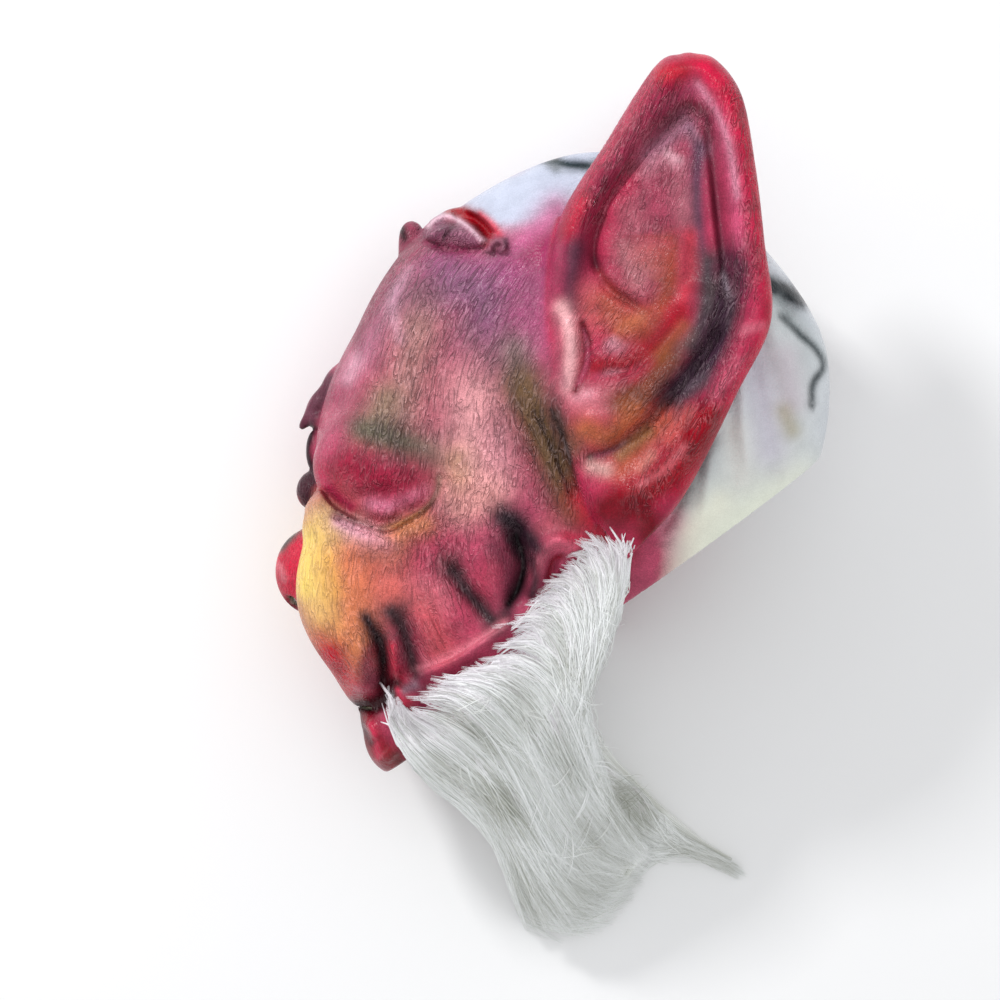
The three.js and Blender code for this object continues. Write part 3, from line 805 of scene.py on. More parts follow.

# Airbrush work on the ears, with painted light and shade among it
EAR_PAINT = (
    # rolled rim
    ([(700, 58), (738, 108), (756, 180), (768, 262), (772, 320), (752, 376), (716, 432), (680, 486)], 13, 1.1,
     0xC6143E),
    ([(690, 82), (712, 112), (726, 150), (734, 200), (738, 246)], 9, 0.85, 0xC45476),
    # pink line along the rim's crest: painted highlight
    ([(698, 84), (716, 112), (729, 146), (737, 196)], 4, 0.6, 0xE6A0B8),
    ([(664, 86), (640, 126), (614, 164), (590, 204), (572, 246)], 20, 1.1, 0x902242),
    ([(664, 74), (682, 70)], 12, 0.9, 0xBA182C),
    ([(650, 86), (622, 130), (592, 176), (566, 226)], 6, 0.7, 0xB22C4A),
    ([(584, 200), (568, 236)], 9, 0.6, 0xB6182E),
    ([(690, 92), (676, 100), (660, 116)], 7, 0.6, 0x963A58),
    # dark recess and line under the overhanging rim, round the panel: painted shadow
    ([(652, 140), (670, 118), (690, 106), (702, 112)], 7.5, 1.1, 0x540C1E),
    ([(650, 146), (627, 176), (606, 206), (596, 236), (596, 264)], 7, 0.95, 0x681228),
    ([(655, 139), (632, 168), (612, 196), (600, 222), (595, 248), (598, 268)], 2.4, 1.1, 0x300818),
    ([(708, 116), (714, 170), (720, 226), (728, 266)], 8, 0.9, 0x88344C),
    # dark line in the groove beside the rim: painted shade
    ([(707, 120), (711, 165), (716, 215), (722, 262)], 3.5, 0.9, 0x561428),
    ([(576, 250), (570, 286), (574, 304)], 13, 0.9, 0x522E42),
    ([(556, 250), (548, 310)], 12, 0.6, 0x9A3658),
    # inner panel
    ([(664, 160), (650, 220), (646, 282)], 38, 1.2, 0xA4425A),
    ([(686, 122), (668, 138), (650, 156)], 11, 0.8, 0x986A7E),
    ([(690, 128), (702, 150)], 9, 0.8, 0x886276),
    ([(640, 176), (660, 160), (682, 164)], 9, 0.6, 0xC87A8C),
    # pale sheen on the panel: painted highlight
    ([(668, 154), (678, 160)], 5, 0.5, 0xE2B8C2),
    ([(699, 148), (696, 190), (700, 250)], 8.5, 0.95, 0x58364C),
    ([(632, 182), (610, 214), (602, 250)], 10, 0.85, 0xB63252),
    ([(628, 212), (640, 222)], 12, 0.4, 0xC0707C),
    ([(626, 248), (638, 280)], 13, 0.6, 0xB47A7C),
    ([(680, 190), (684, 220)], 10, 0.45, 0xBE828C),
    ([(668, 244), (668, 290), (656, 314)], 13, 0.95, 0x983E2A),
    ([(690, 236), (690, 280), (672, 320)], 8, 0.8, 0xC63A4A),
    ([(708, 262), (706, 310), (694, 346)], 13, 1.0, 0x4E3E44),
    ([(714, 288), (713, 312)], 6, 0.7, 0x707068),
    # dark red line under the panel's lower edge: painted shade
    ([(600, 272), (620, 296), (648, 312)], 4.5, 0.8, 0x782228),
    # bowl and roll
    ([(590, 292), (586, 330)], 12, 0.8, 0xD05C6C),
    ([(604, 306), (626, 322), (646, 330)], 20, 1.0, 0xAC4C3C),
    # pale orange in the bowl: painted highlight
    ([(620, 330), (640, 318)], 8, 0.35, 0xD4885C),
    ([(592, 366), (624, 362), (652, 346), (680, 312)], 11, 1.1, 0x9C1226),
    ([(566, 396), (590, 402), (612, 398)], 17, 1.0, 0xC86A78),
    # pale pink on the roll's upper left: painted highlight
    ([(576, 396), (590, 394)], 7, 0.5, 0xE09AA8),
    ([(624, 402), (650, 388), (670, 362)], 17, 1.2, 0x763622),
    ([(586, 430), (610, 436), (636, 414)], 15, 0.85, 0xBC683E),
    ([(560, 430), (572, 448)], 14, 0.75, 0x6E583E),
    ([(660, 356), (684, 326)], 7, 0.6, 0x965A34),
    ([(680, 346), (694, 336)], 9, 0.6, 0x604A40),
    # black line in the crevice under the roll: painted shade
    ([(590, 457), (606, 453), (624, 443), (647, 424), (666, 401), (690, 372), (712, 345), (722, 326)], 4.5,
     1.0, 0x221214),
    # lower rim and lobe
    ([(732, 268), (722, 318), (704, 362), (676, 396)], 19, 1.2, 0x422A3A),
    ([(730, 262), (740, 290)], 9, 0.8, 0x682840),
    ([(724, 276), (728, 296)], 2.5, 0.6, 0xB0A0AC),
    ([(690, 388), (704, 380)], 9, 0.5, 0x685862),
    ([(664, 422), (640, 446), (622, 470)], 16, 1.0, 0xB2503E),
    ([(690, 414), (670, 440)], 9, 0.75, 0xCE6660),
    ([(620, 456), (648, 432)], 7, 0.6, 0x806C3E),
    ([(592, 466), (606, 470)], 8, 0.8, 0xD8ACA4),
    ([(640, 470), (652, 456)], 6, 0.5, 0xE8AA96),
    ([(708, 420), (680, 462), (650, 486), (620, 505)], 17, 1.4, 0x920018),
    ([(606, 510), (640, 512), (652, 536)], 16, 1.1, 0x74081A),
    ([(612, 524), (640, 530)], 10, 0.5, 0x7E2432),
    # thin pink lines along the lower rim: painted highlights
    ([(640, 484), (664, 470), (684, 446)], 5, 0.5, 0xE67882),
    ([(744, 330), (762, 326)], 5, 0.5, 0xE88296),
    ([(740, 360), (716, 396)], 5, 0.5, 0xDE6E86),
    # small flap before the bowl
    ([(562, 308), (568, 326), (571, 346), (570, 364), (567, 384)], 8.5, 1.1, 0xE4A6AA),
    ([(582, 322), (588, 344), (587, 366), (575, 391)], 4, 1.1, 0x680E1E),
    ([(556, 318), (558, 360), (564, 384)], 4.5, 0.6, 0x96485C),
)

# Places where the latex is lined: path, width and strength
LINED_PLACES = (
    ([(412, 262), (420, 340), (400, 430), (390, 500)], 60, 1.0),
    ([(480, 300), (500, 400), (490, 480), (440, 540)], 48, 0.85),
    ([(330, 530), (340, 620), (400, 640), (450, 600)], 45, 0.55),
    ([(540, 420), (560, 490)], 30, 0.85),
    ([(660, 90), (620, 150), (590, 210)], 18, 0.95),
    ([(735, 90), (748, 180), (752, 260), (740, 300)], 16, 0.9),
    ([(730, 270), (700, 360), (660, 420)], 18, 0.7),
    ([(690, 120), (650, 200), (640, 280)], 30, 0.7),
    ([(700, 410), (650, 470)], 14, 0.5),
    ([(600, 330), (640, 390)], 32, 0.65),
    ([(740, 350), (700, 430), (640, 500)], 16, 0.75),
    ([(590, 460), (640, 420)], 20, 0.4),
    ([(540, 560), (580, 540)], 20, 0.3),
    ([(430, 232), (480, 240)], 12, 0.5),
    ([(290, 580), (380, 750)], 22, 0.2),
    ([(330, 680), (360, 640)], 18, 0.6),
)

# Places that stayed smooth among them
SMOOTH_PLACES = (
    ([(330, 492), (360, 500), (400, 498), (424, 486)], 20, 0.6),
    ([(452, 212), (476, 220), (490, 238)], 8, 0.9),
    ([(404, 226), (410, 242)], 12, 0.7),
    ([(318, 690), (352, 706), (370, 740)], 16, 0.6),
)

# How far the wrinkles lean to the right of upright, in degrees, at picture places
WRINKLE_LEANS = (
    ((340, 350), 27), ((400, 285), 20), ((418, 390), 4), ((480, 350), 30), ((440, 480), 0), ((370, 460), 12),
    ((318, 440), 14), ((500, 430), -6), ((552, 440), -26), ((325, 580), 14), ((390, 560), 4),
    ((440, 590), -24), ((495, 570), -30), ((350, 655), -30), ((430, 645), -48), ((470, 250), 55),
    ((690, 210), 4), ((620, 160), 38), ((585, 240), 18), ((750, 200), -8), ((720, 330), 22), ((680, 440), 44),
)


class WrinkleFlow:
    """Places drawn out along the run of the wrinkles, which a noise is read at."""

    cell = 5

    def __init__(self) -> None:
        """Finds two smooth maps whose slopes lie across and along the wrinkles."""
        middles = (np.arange(VIEW.size // self.cell) + 0.5) * self.cell
        across, down = np.meshgrid(middles, middles)
        total, weight = np.zeros(across.shape), np.zeros(across.shape)
        for (x, y), lean in WRINKLE_LEANS:
            near = 1 / ((across - x) ** 2 + (down - y) ** 2 + 900) ** 1.5
            total += near * math.radians(lean)
            weight += near
        lean = total / weight
        slopes = ((np.cos(lean), np.sin(lean)), (np.sin(lean), -np.cos(lean)))
        self.maps = np.stack([self.rebuilt(slope, across, down) for slope in slopes], 2)

    def rebuilt(self, slope: tuple[Array, Array], across: Array, down: Array) -> Array:
        """Finds the map whose slope is nearest to the given one.

        Args:
            slope: The wanted slope across and down.
            across: Picture places of the cells.
            down: Picture places of the cells.

        Returns:
            The map, one value a cell.
        """
        mean = [float(part.mean()) for part in slope]
        waves = 2 * math.pi * np.fft.fftfreq(across.shape[0], self.cell)
        kx, ky = waves[None, :], waves[:, None]
        square = kx * kx + ky * ky
        square[0, 0] = 1.0
        spread = kx * np.fft.fft2(slope[0] - mean[0]) + ky * np.fft.fft2(slope[1] - mean[1])
        return mean[0] * across + mean[1] * down + np.real(np.fft.ifft2(-1j * spread / square))

    def read(self, places: Array, level: Array) -> Array:
        """Gives the drawn places in metres, from picture places and heights in millimetres."""
        column, row = (places / self.cell - 0.5).T
        flat = read_grid(self.maps, column, row) * VIEW.scale
        return np.stack([flat[:, 0], flat[:, 1], level], 1) * MM


class PaintJob:
    """The airbrushed colours, with painted light and shade among them, and the lined places of the whole
    mask.
    """

    middle_reach = (2.0, 6.0)      # how far off the middle forms their paint fades
    ear_reach = (-2.5, 2.5)        # the ear's paint meets the head's over this width
    bare_depth = (-1.4, -2.4)      # how deep in the wall the bare inside starts

    def __init__(self) -> None:
        """Lays all the paint."""
        self.head = self.sprayed(HEAD_PAINT, BARE_LATEX)
        self.middle = self.sprayed(HEAD_PAINT + MIDDLE_PAINT, BARE_LATEX)
        self.ear = self.sprayed(EAR_PAINT, srgb(0xB63052))
        self.lined = Canvas()
        for path, width, strength in LINED_PLACES:
            self.lined.paint(Stroke(path, width, strength, taper=0), (1.0,))
        for path, width, strength in SMOOTH_PLACES:
            self.lined.paint(Stroke(path, width, strength, taper=0), (0.0,))

    @staticmethod
    def sprayed(strokes: Sequence[tuple], ground: Colour) -> Canvas:
        """Lays strokes of paint over a ground colour."""
        canvas = Canvas(3)
        canvas.values[:] = ground
        for path, width, strength, colour in strokes:
            canvas.paint(Stroke(path, width, strength, taper=0), srgb(colour))
        return canvas

    def dress(self, made: Object, surface: MaskSurface) -> None:
        """Gives each point of the shell its colour and how lined it is.

        Args:
            made: The shell's object.
            surface: The field that the shell was made from.
        """
        points = vertex_points(made) / MM - MIDDLE
        layer = surface.layers(points)
        places, _ = surface.left_places(points)
        standing = surface.union([form for form in (*BASE_FORMS, *CARVED_FORMS) if form.name in MIDDLE_FORMS],
                                 own_frame(points))
        near = 1 - smooth_step(*self.middle_reach, standing)[:, None]
        raised = points.copy()
        raised[:, 2] = surface.ears.sheet.read(surface.ears.face, points[:, 0], points[:, 1])
        ear_places = VIEW.place(raised)
        skin = np.minimum(layer["head"], layer["lining"])
        ear = smooth_step(*self.ear_reach, skin - np.minimum(layer["upper"], layer["lower"]))[:, None]
        head = self.head.read(places) * (1 - near) + self.middle.read(places) * near
        colour = head * (1 - ear) + self.ear.read(ear_places) * ear
        lined = self.lined.read(places) * (1 - ear) + self.lined.read(ear_places) * ear
        inside = smooth_step(*self.bare_depth, layer["lining"])[:, None]
        colour = colour * (1 - inside) + np.array(LINING_LATEX) * inside
        self.store(made, "paint", colour)
        self.store(made, "lined", np.repeat(lined * (1 - inside), 3, 1))
        drawn = WrinkleFlow().read(places, points[:, 2]).astype(np.float32)
        layer = made.data.attributes.new("wrinkle_place", "FLOAT_VECTOR", "POINT")
        layer.data.foreach_set("vector", drawn.ravel())

    @staticmethod
    def store(made: Object, name: str, values: Array) -> None:
        """Keeps three values a point as a colour attribute."""
        layer = made.data.color_attributes.new(name, "FLOAT_COLOR", "POINT")
        full = np.ones((len(values), 4), np.float32)
        full[:, :3] = values
        layer.data.foreach_set("color", full.ravel())


class SurfaceNet:
    """Turns a distance field into a closed mesh of small faces."""

    def __init__(self, low: Sequence[float], high: Sequence[float], step: float) -> None:
        """Lays out a grid of points.

        Args:
            low: Lowest corner of the grid.
            high: Highest corner of the grid.
            step: Distance between its points.
        """
        self.step = step
        self.low = np.array(low, float)
        self.count = np.ceil((np.array(high) - self.low) / step).astype(int) + 1

    def sample(self, surface: MaskSurface) -> Array:
        """Reads the field on the grid, exactly near the surface and roughly away from it."""
        axes = [self.low[i] + self.step * np.arange(self.count[i]) for i in range(3)]
        values = np.empty(tuple(self.count), np.float32)
        y, z = np.meshgrid(axes[1], axes[2], indexing="ij")
        for i, x in enumerate(axes[0]):
            points = np.stack([np.full(y.size, x), y.ravel(), z.ravel()], 1).astype(np.float32)
            values[i] = surface.distance(points).reshape(y.shape)
        return values

    def mesh(self, values: Array) -> tuple[Array, Array]:
        """Makes the faces where the field changes sign.

        Args:
            values: The field on the grid.

        Returns:
            The points, and the faces of four points each, facing out.
        """
        inside = values < 0
        corners = list(itertools.product((0, 1), repeat=3))
        total = sum(inside[tuple(slice(n, n - 1 or None) for n in corner)].astype(np.int8)
                    for corner in corners)
        active = np.argwhere((total > 0) & (total < 8))
        index = np.full(total.shape, -1, np.int32)
        index[tuple(active.T)] = np.arange(len(active))
        place = np.zeros((len(active), 3))
        crossings = np.zeros(len(active))
        for a in corners:
            for axis in range(3):
                if a[axis]:
                    continue
                b = tuple(a[n] + (n == axis) for n in range(3))
                va = values[tuple((active + a).T)]
                vb = values[tuple((active + b).T)]
                crosses = (va < 0) != (vb < 0)
                share = np.where(crosses, va / np.where(crosses, va - vb, 1), 0)
                spot = np.array(a) + share[:, None] * (np.array(b) - np.array(a))
                place += spot * crosses[:, None]
                crossings += crosses
        points = self.low + self.step * (active + place / crossings[:, None])
        faces = []
        for axis in range(3):
            u, v = [n for n in range(3) if n != axis]
            lower = [slice(None)] * 3
            upper = [slice(None)] * 3
            lower[axis], upper[axis] = slice(0, -1), slice(1, None)
            change = inside[tuple(lower)] != inside[tuple(upper)]
            spots = np.argwhere(change)
            keep = ((spots[:, u] > 0) & (spots[:, v] > 0)
                    & (spots[:, u] < self.count[u] - 1) & (spots[:, v] < self.count[v] - 1))
            spots = spots[keep]
            ring = []
            for du, dv in ((0, 0), (-1, 0), (-1, -1), (0, -1)):
                cell = spots.copy()
                cell[:, u] += du
                cell[:, v] += dv
                ring.append(index[tuple(cell.T)])
            ring = np.stack(ring, 1)
            forward = inside[tuple(spots.T)] ^ (axis == 1)
            ring[~forward] = ring[~forward][:, ::-1]
            faces.append(ring)
        return points, np.vstack(faces)


def placed(name: str, data: bpy.types.ID) -> Object:
    """Puts a mesh, light or camera in the scene as an object."""
    made = bpy.data.objects.new(name, data)
    bpy.context.scene.collection.objects.link(made)
    return made


def new_object(name: str, points: Array, faces: Array) -> Object:
    """Makes a smooth-shaded mesh object from points in metres and faces of equal size."""
    mesh = bpy.data.meshes.new(name)
    sides = faces.shape[1]
    mesh.vertices.add(len(points))
    mesh.vertices.foreach_set("co", points.astype(np.float32).ravel())
    mesh.loops.add(faces.size)
    mesh.loops.foreach_set("vertex_index", faces.astype(np.int32).ravel())
    mesh.polygons.add(len(faces))
    mesh.polygons.foreach_set("loop_start", np.arange(0, faces.size, sides, dtype=np.int32))
    mesh.polygons.foreach_set("use_smooth", np.ones(len(faces), bool))
    mesh.update(calc_edges=True)
    mesh.validate()
    return placed(name, mesh)


def evaluated_copy(source: Object, name: str) -> Object:
    """Replaces an object by a plain mesh of what its modifiers make."""
    bpy.context.view_layer.update()
    graph = bpy.context.evaluated_depsgraph_get()
    mesh = bpy.data.meshes.new_from_object(source.evaluated_get(graph))
    bpy.data.objects.remove(source)
    mesh.name = name
    return placed(name, mesh)


def vertex_points(made: Object) -> Array:
    """Reads an object's points, one row each."""
    flat = np.zeros(len(made.data.vertices) * 3, np.float32)
    made.data.vertices.foreach_get("co", flat)
    return flat.reshape(-1, 3)


class NodeSheet:
    """A small helper that adds and joins the nodes of one tree."""

    def __init__(self, tree: NodeTree) -> None:
        """Keeps the tree."""
        self.tree = tree

    def add(self, kind: str, inputs: dict | None = None, **settings: object) -> Node:
        """Adds a node.

        Args:
            kind: The node's type name.
            inputs: Values or output sockets, by the input's name or number.
            **settings: Properties of the node.

        Returns:
            The node.
        """
        node = self.tree.nodes.new(kind)
        for key, value in settings.items():
            setattr(node, key, value)
        for key, value in (inputs or {}).items():
            if isinstance(value, NodeSocket):
                self.tree.links.new(value, node.inputs[key])
            else:
                node.inputs[key].default_value = value
        return node

    def math(self, operation: str, a: object, b: object = 0.0, clamp: bool = False) -> NodeSocket:
        """Adds a sum of two values and gives its output."""
        return self.add("ShaderNodeMath", {0: a, 1: b}, operation=operation, use_clamp=clamp).outputs[0]

    def times(self, a: object, b: object, clamp: bool = False) -> NodeSocket:
        """Adds a product and gives its output."""
        return self.math("MULTIPLY", a, b, clamp)

    def vector(self, operation: str, a: object, b: object) -> NodeSocket:
        """Adds a sum of two vectors, or of a vector and its scale, and gives its output."""
        second = "Scale" if operation == "SCALE" else 1
        return self.add("ShaderNodeVectorMath", {0: a, second: b}, operation=operation).outputs[0]

    def noise(self, place: object, scale: float, detail: float, roughness: float = 0.5) -> Node:
        """Adds a cloudy noise."""
        return self.add("ShaderNodeTexNoise", {"Vector": place, "Scale": scale, "Detail": detail,
                                               "Roughness": roughness})

    def kept(self, name: str, output: str = "Fac") -> NodeSocket:
        """Adds a reader of what is kept on the points under a name, and gives its output."""
        return self.add("ShaderNodeAttribute", attribute_name=name).outputs[output]

    def blend(self, share: object, a: object, b: object, how: str = "MIX") -> NodeSocket:
        """Adds a mix of two colours and gives its output."""
        node = self.add("ShaderNodeMix", data_type="RGBA", blend_type=how)
        for socket, value in ((node.inputs[0], share), (node.inputs[6], a), (node.inputs[7], b)):
            if isinstance(value, NodeSocket):
                self.tree.links.new(value, socket)
            else:
                socket.default_value = value
        return node.outputs[2]

    def span(self, value: object, low: float, high: float, to_low: float = 0.0,
             to_high: float = 1.0) -> NodeSocket:
        """Maps a value from one range to another and gives the output."""
        return self.add("ShaderNodeMapRange", {0: value, 1: low, 2: high, 3: to_low, 4: to_high},
                        interpolation_type="SMOOTHSTEP").outputs[0]


@dataclass(frozen=True)
class Lining:
    """The fine wrinkles of aged latex, drawn out down the face, as a group of masks."""

    wrinkle: float = 0.0033
    wrinkle_width: float = 0.036
    stretch: Triple = (1.0, 0.21, 0.75)
    worm: float = 0.0040
    worm_width: float = 0.032
    swell: float = 0.0023

    def group(self) -> NodeTree:
        """Builds the node group.

        Returns:
            The group, with Place and Flow inputs and Lines, Lips, Relief and Grain outputs.
        """
        tree = bpy.data.node_groups.new("latex_lining", "ShaderNodeTree")
        for name in ("Place", "Flow"):
            tree.interface.new_socket(name, in_out="INPUT", socket_type="NodeSocketVector")
        for name in ("Lines", "Lips", "Relief", "Grain"):
            tree.interface.new_socket(name, in_out="OUTPUT", socket_type="NodeSocketFloat")
        sheet = NodeSheet(tree)
        source = sheet.add("NodeGroupInput")
        result = sheet.add("NodeGroupOutput")
        place, flow = source.outputs[0], source.outputs[1]
        drawn = sheet.vector("MULTIPLY", self.swayed(sheet, flow, place, 260.0, 0.0007), self.stretch)
        parted = sheet.vector("MULTIPLY", drawn, (0.6, 1.6, 1.0))
        wrinkles, wrinkle_lips = self.lines(sheet, drawn, self.wrinkle, self.wrinkle_width,
                                            (0.39, 0.46, 0.53, 0.60), parted)
        worms, worm_lips = self.lines(sheet, self.swayed(sheet, place, place, 240.0, 0.003), self.worm,
                                      self.worm_width, (0.44, 0.54), place)
        broken = sheet.noise(place, 110.0, 2.0).outputs["Fac"]
        gaps = sheet.span(broken, 0.36, 0.48, 0.35, 1.0)
        curled = sheet.span(broken, 0.42, 0.35)
        both = sheet.math("MAXIMUM", sheet.times(wrinkles, gaps),
                          sheet.times(worms, curled))
        lips = sheet.math("MAXIMUM", sheet.times(wrinkle_lips, gaps),
                          sheet.times(worm_lips, curled))
        tree.links.new(both, result.inputs["Lines"])
        tree.links.new(lips, result.inputs["Lips"])
        swell = sheet.noise(drawn, 1 / self.swell, 1.5).outputs["Fac"]
        crease = sheet.span(sheet.math("ABSOLUTE", sheet.math("SUBTRACT", swell, 0.5)), 0.0, 0.12)
        relief = sheet.math("ADD", sheet.times(crease, 0.5), swell)
        tree.links.new(relief, result.inputs["Relief"])
        tree.links.new(sheet.noise(place, 700.0, 3.0).outputs["Fac"], result.inputs["Grain"])
        return tree

    @staticmethod
    def swayed(sheet: NodeSheet, start: NodeSocket, place: NodeSocket, scale: float,
               reach: float) -> NodeSocket:
        """Adds a small wandering to places and gives the result."""
        sway = sheet.noise(place, scale, 2.0).outputs["Color"]
        shift = sheet.vector("SUBTRACT", sway, (0.5, 0.5, 0.5))
        return sheet.vector("ADD", start, sheet.vector("SCALE", shift, reach))

    @staticmethod
    def lines(sheet: NodeSheet, place: NodeSocket, size: float, width: float,
              levels: Sequence[float], parted: NodeSocket,
              ) -> tuple[NodeSocket, NodeSocket]:
        """Adds broken lines along the levels of a soft noise, and the raised lips beside them.

        Args:
            sheet: The sheet that the nodes go on.
            place: Places that the noise is read at.
            size: Size of the noise's features, in metres.
            width: Half width of a line, as a difference of the noise.
            levels: Levels of the noise that the lines follow.
            parted: Places that the breaks in the lines are read at.

        Returns:
            Masks of the lines and of their lips.
        """
        noise = sheet.noise(place, 1 / size, 1.0, 0.4).outputs["Fac"]
        lines, lips = None, None
        for level in levels:
            near = sheet.math("ABSOLUTE", sheet.math("SUBTRACT", noise, level))
            offset = sheet.vector("ADD", parted, (level, 3 * level, 7 * level))
            kept = sheet.span(sheet.noise(offset, 0.8 / size, 1.0).outputs["Fac"], 0.44, 0.58)
            line = sheet.times(kept, sheet.span(near, 0.3 * width, 1.4 * width, 1.0, 0.0))
            rise = sheet.times(kept, sheet.span(near, 0.6 * width, 1.3 * width))
            lip = sheet.times(rise, sheet.span(near, 1.3 * width, 2.4 * width, 1.0, 0.0))
            lines = line if lines is None else sheet.math("MAXIMUM", lines, line)
            lips = lip if lips is None else sheet.math("MAXIMUM", lips, lip)
        return lines, lips


@dataclass(frozen=True)
class PaintedLatex:
    """Cast latex with airbrushed colour, a half-gloss skin, dark lines in its wrinkles, partly aged crackle
    and partly painted shade, and lighter lips beside them as painted highlight.
    """

    roughness: float = 0.28
    gleam: float = 0.16
    line_depth: float = 0.0005
    lip_height: float = 0.00036
    relief_depth: float = 0.0010
    grain_depth: float = 0.0003
    mottle: tuple[float, float] = (0.76, 1.16)       # darkest and lightest blotch
    speckle: tuple[float, float] = (0.84, 1.16)
    line_strength: float = 0.42
    lip_highlight: float = 0.13

    def material(self) -> Material:
        """Builds the material."""
        look = bpy.data.materials.new("painted_latex")
        look.use_nodes = True
        sheet = NodeSheet(look.node_tree)
        shader = look.node_tree.nodes["Principled BSDF"]
        place = sheet.add("ShaderNodeTexCoord").outputs["Object"]
        paint, lined = sheet.kept("paint", "Color"), sheet.kept("lined")
        lining = sheet.add("ShaderNodeGroup", node_tree=Lining().group())
        look.node_tree.links.new(place, lining.inputs["Place"])
        look.node_tree.links.new(sheet.kept("wrinkle_place", "Vector"), lining.inputs["Flow"])
        lines = sheet.times(lining.outputs["Lines"], lined, True)
        lips = sheet.times(lining.outputs["Lips"], lined, True)
        blotch = sheet.noise(place, 75.0, 5.0, 0.65).outputs["Fac"]
        mottled = sheet.span(blotch, 0.3, 0.7, *self.mottle)
        bright = sheet.add("ShaderNodeRGBToBW", {0: paint}).outputs[0]
        plain = sheet.span(bright, 0.34, 0.62, 0.0, 0.78)
        calm = sheet.add("ShaderNodeMix", {0: plain, 2: mottled, 3: 1.0}, data_type="FLOAT").outputs[0]
        specks = sheet.span(sheet.noise(place, 1500.0, 2.0).outputs["Fac"], 0.35, 0.7, *self.speckle)
        quiet = sheet.add("ShaderNodeMix", {0: plain, 2: specks, 3: 1.0}, data_type="FLOAT").outputs[0]
        tone = sheet.times(calm, quiet)
        tinted = sheet.blend(1.0, paint, tone, "MULTIPLY")
        # dark lines in the wrinkles: partly the aged latex's crackle, partly painted shade in the creases
        dark = sheet.blend(1.0, tinted, (0.26, 0.14, 0.17, 1), "MULTIPLY")
        # the lips beside the lines are lightened and paled: painted highlight
        brightened_lips = sheet.blend(sheet.times(lips, 0.8), tinted, (1.35, 1.3, 1.3, 1), "MULTIPLY")
        highlighted_lips = sheet.blend(sheet.times(lips, self.lip_highlight), brightened_lips, (0.86, 0.66, 0.70, 1))
        colour = sheet.blend(sheet.times(lines, self.line_strength), highlighted_lips, dark)
        look.node_tree.links.new(colour, shader.inputs["Base Color"])
        shine = sheet.span(blotch, 0.35, 0.65, self.roughness + 0.09, self.roughness - 0.09)
        look.node_tree.links.new(shine, shader.inputs["Roughness"])
        depth = sheet.times(lined, self.relief_depth)
        swell = sheet.times(lining.outputs["Relief"], depth)
        height = sheet.math("ADD", sheet.times(lining.outputs["Grain"], self.grain_depth), swell)
        height = sheet.math("SUBTRACT", height, sheet.times(lines, self.line_depth))
        height = sheet.math("ADD", height, sheet.times(lips, self.lip_height))
        bump = sheet.add("ShaderNodeBump", {"Height": height, "Strength": 1.0, "Distance": 1.0})
        look.node_tree.links.new(bump.outputs[0], shader.inputs["Normal"])
        shader.inputs["Specular IOR Level"].default_value = self.gleam
        return look


@dataclass(frozen=True)
class PaleHair:
    """Synthetic hair, white with a lilac cast near the glue, greyed at random from strand to strand and in
    patches painted as shade, with a faint painted glow in its self-shadowed gaps.
    """

    name: str = "pale_hair"
    root: Colour = srgb(0xFBF6FC)
    length: Colour = srgb(0xFCFEFE)
    shade: Colour = srgb(0xB0B2A6)
    # faint glow of the hair: painted light that brightens its self-shadowed gaps
    painted_glow: float = 0.10
    strand_grey: float = 0.62
    patch_grey: float = 0.6

    def material(self) -> Material:
        """Builds the material."""
        look = bpy.data.materials.new(self.name)
        look.use_nodes = True
        sheet = NodeSheet(look.node_tree)
        shader = look.node_tree.nodes["Principled BSDF"]
        # strands greyed at random, and in patches as painted shade between the locks
        greyed = sheet.math("ADD", sheet.times(sheet.kept("tint"), self.strand_grey),
                            sheet.times(sheet.kept("patch"), self.patch_grey), True)
        young = sheet.span(sheet.kept("along"), 0.0, 0.35)
        grown = sheet.blend(young, (*self.root, 1), (*self.length, 1))
        colour = sheet.blend(greyed, grown, (*self.shade, 1))
        look.node_tree.links.new(colour, shader.inputs["Base Color"])
        # the hair's colour also glows faintly: painted light
        look.node_tree.links.new(colour, shader.inputs["Emission Color"])
        shader.inputs["Emission Strength"].default_value = self.painted_glow
        shader.inputs["Roughness"].default_value = 0.42
        shader.inputs["Specular IOR Level"].default_value = 0.5
        return look


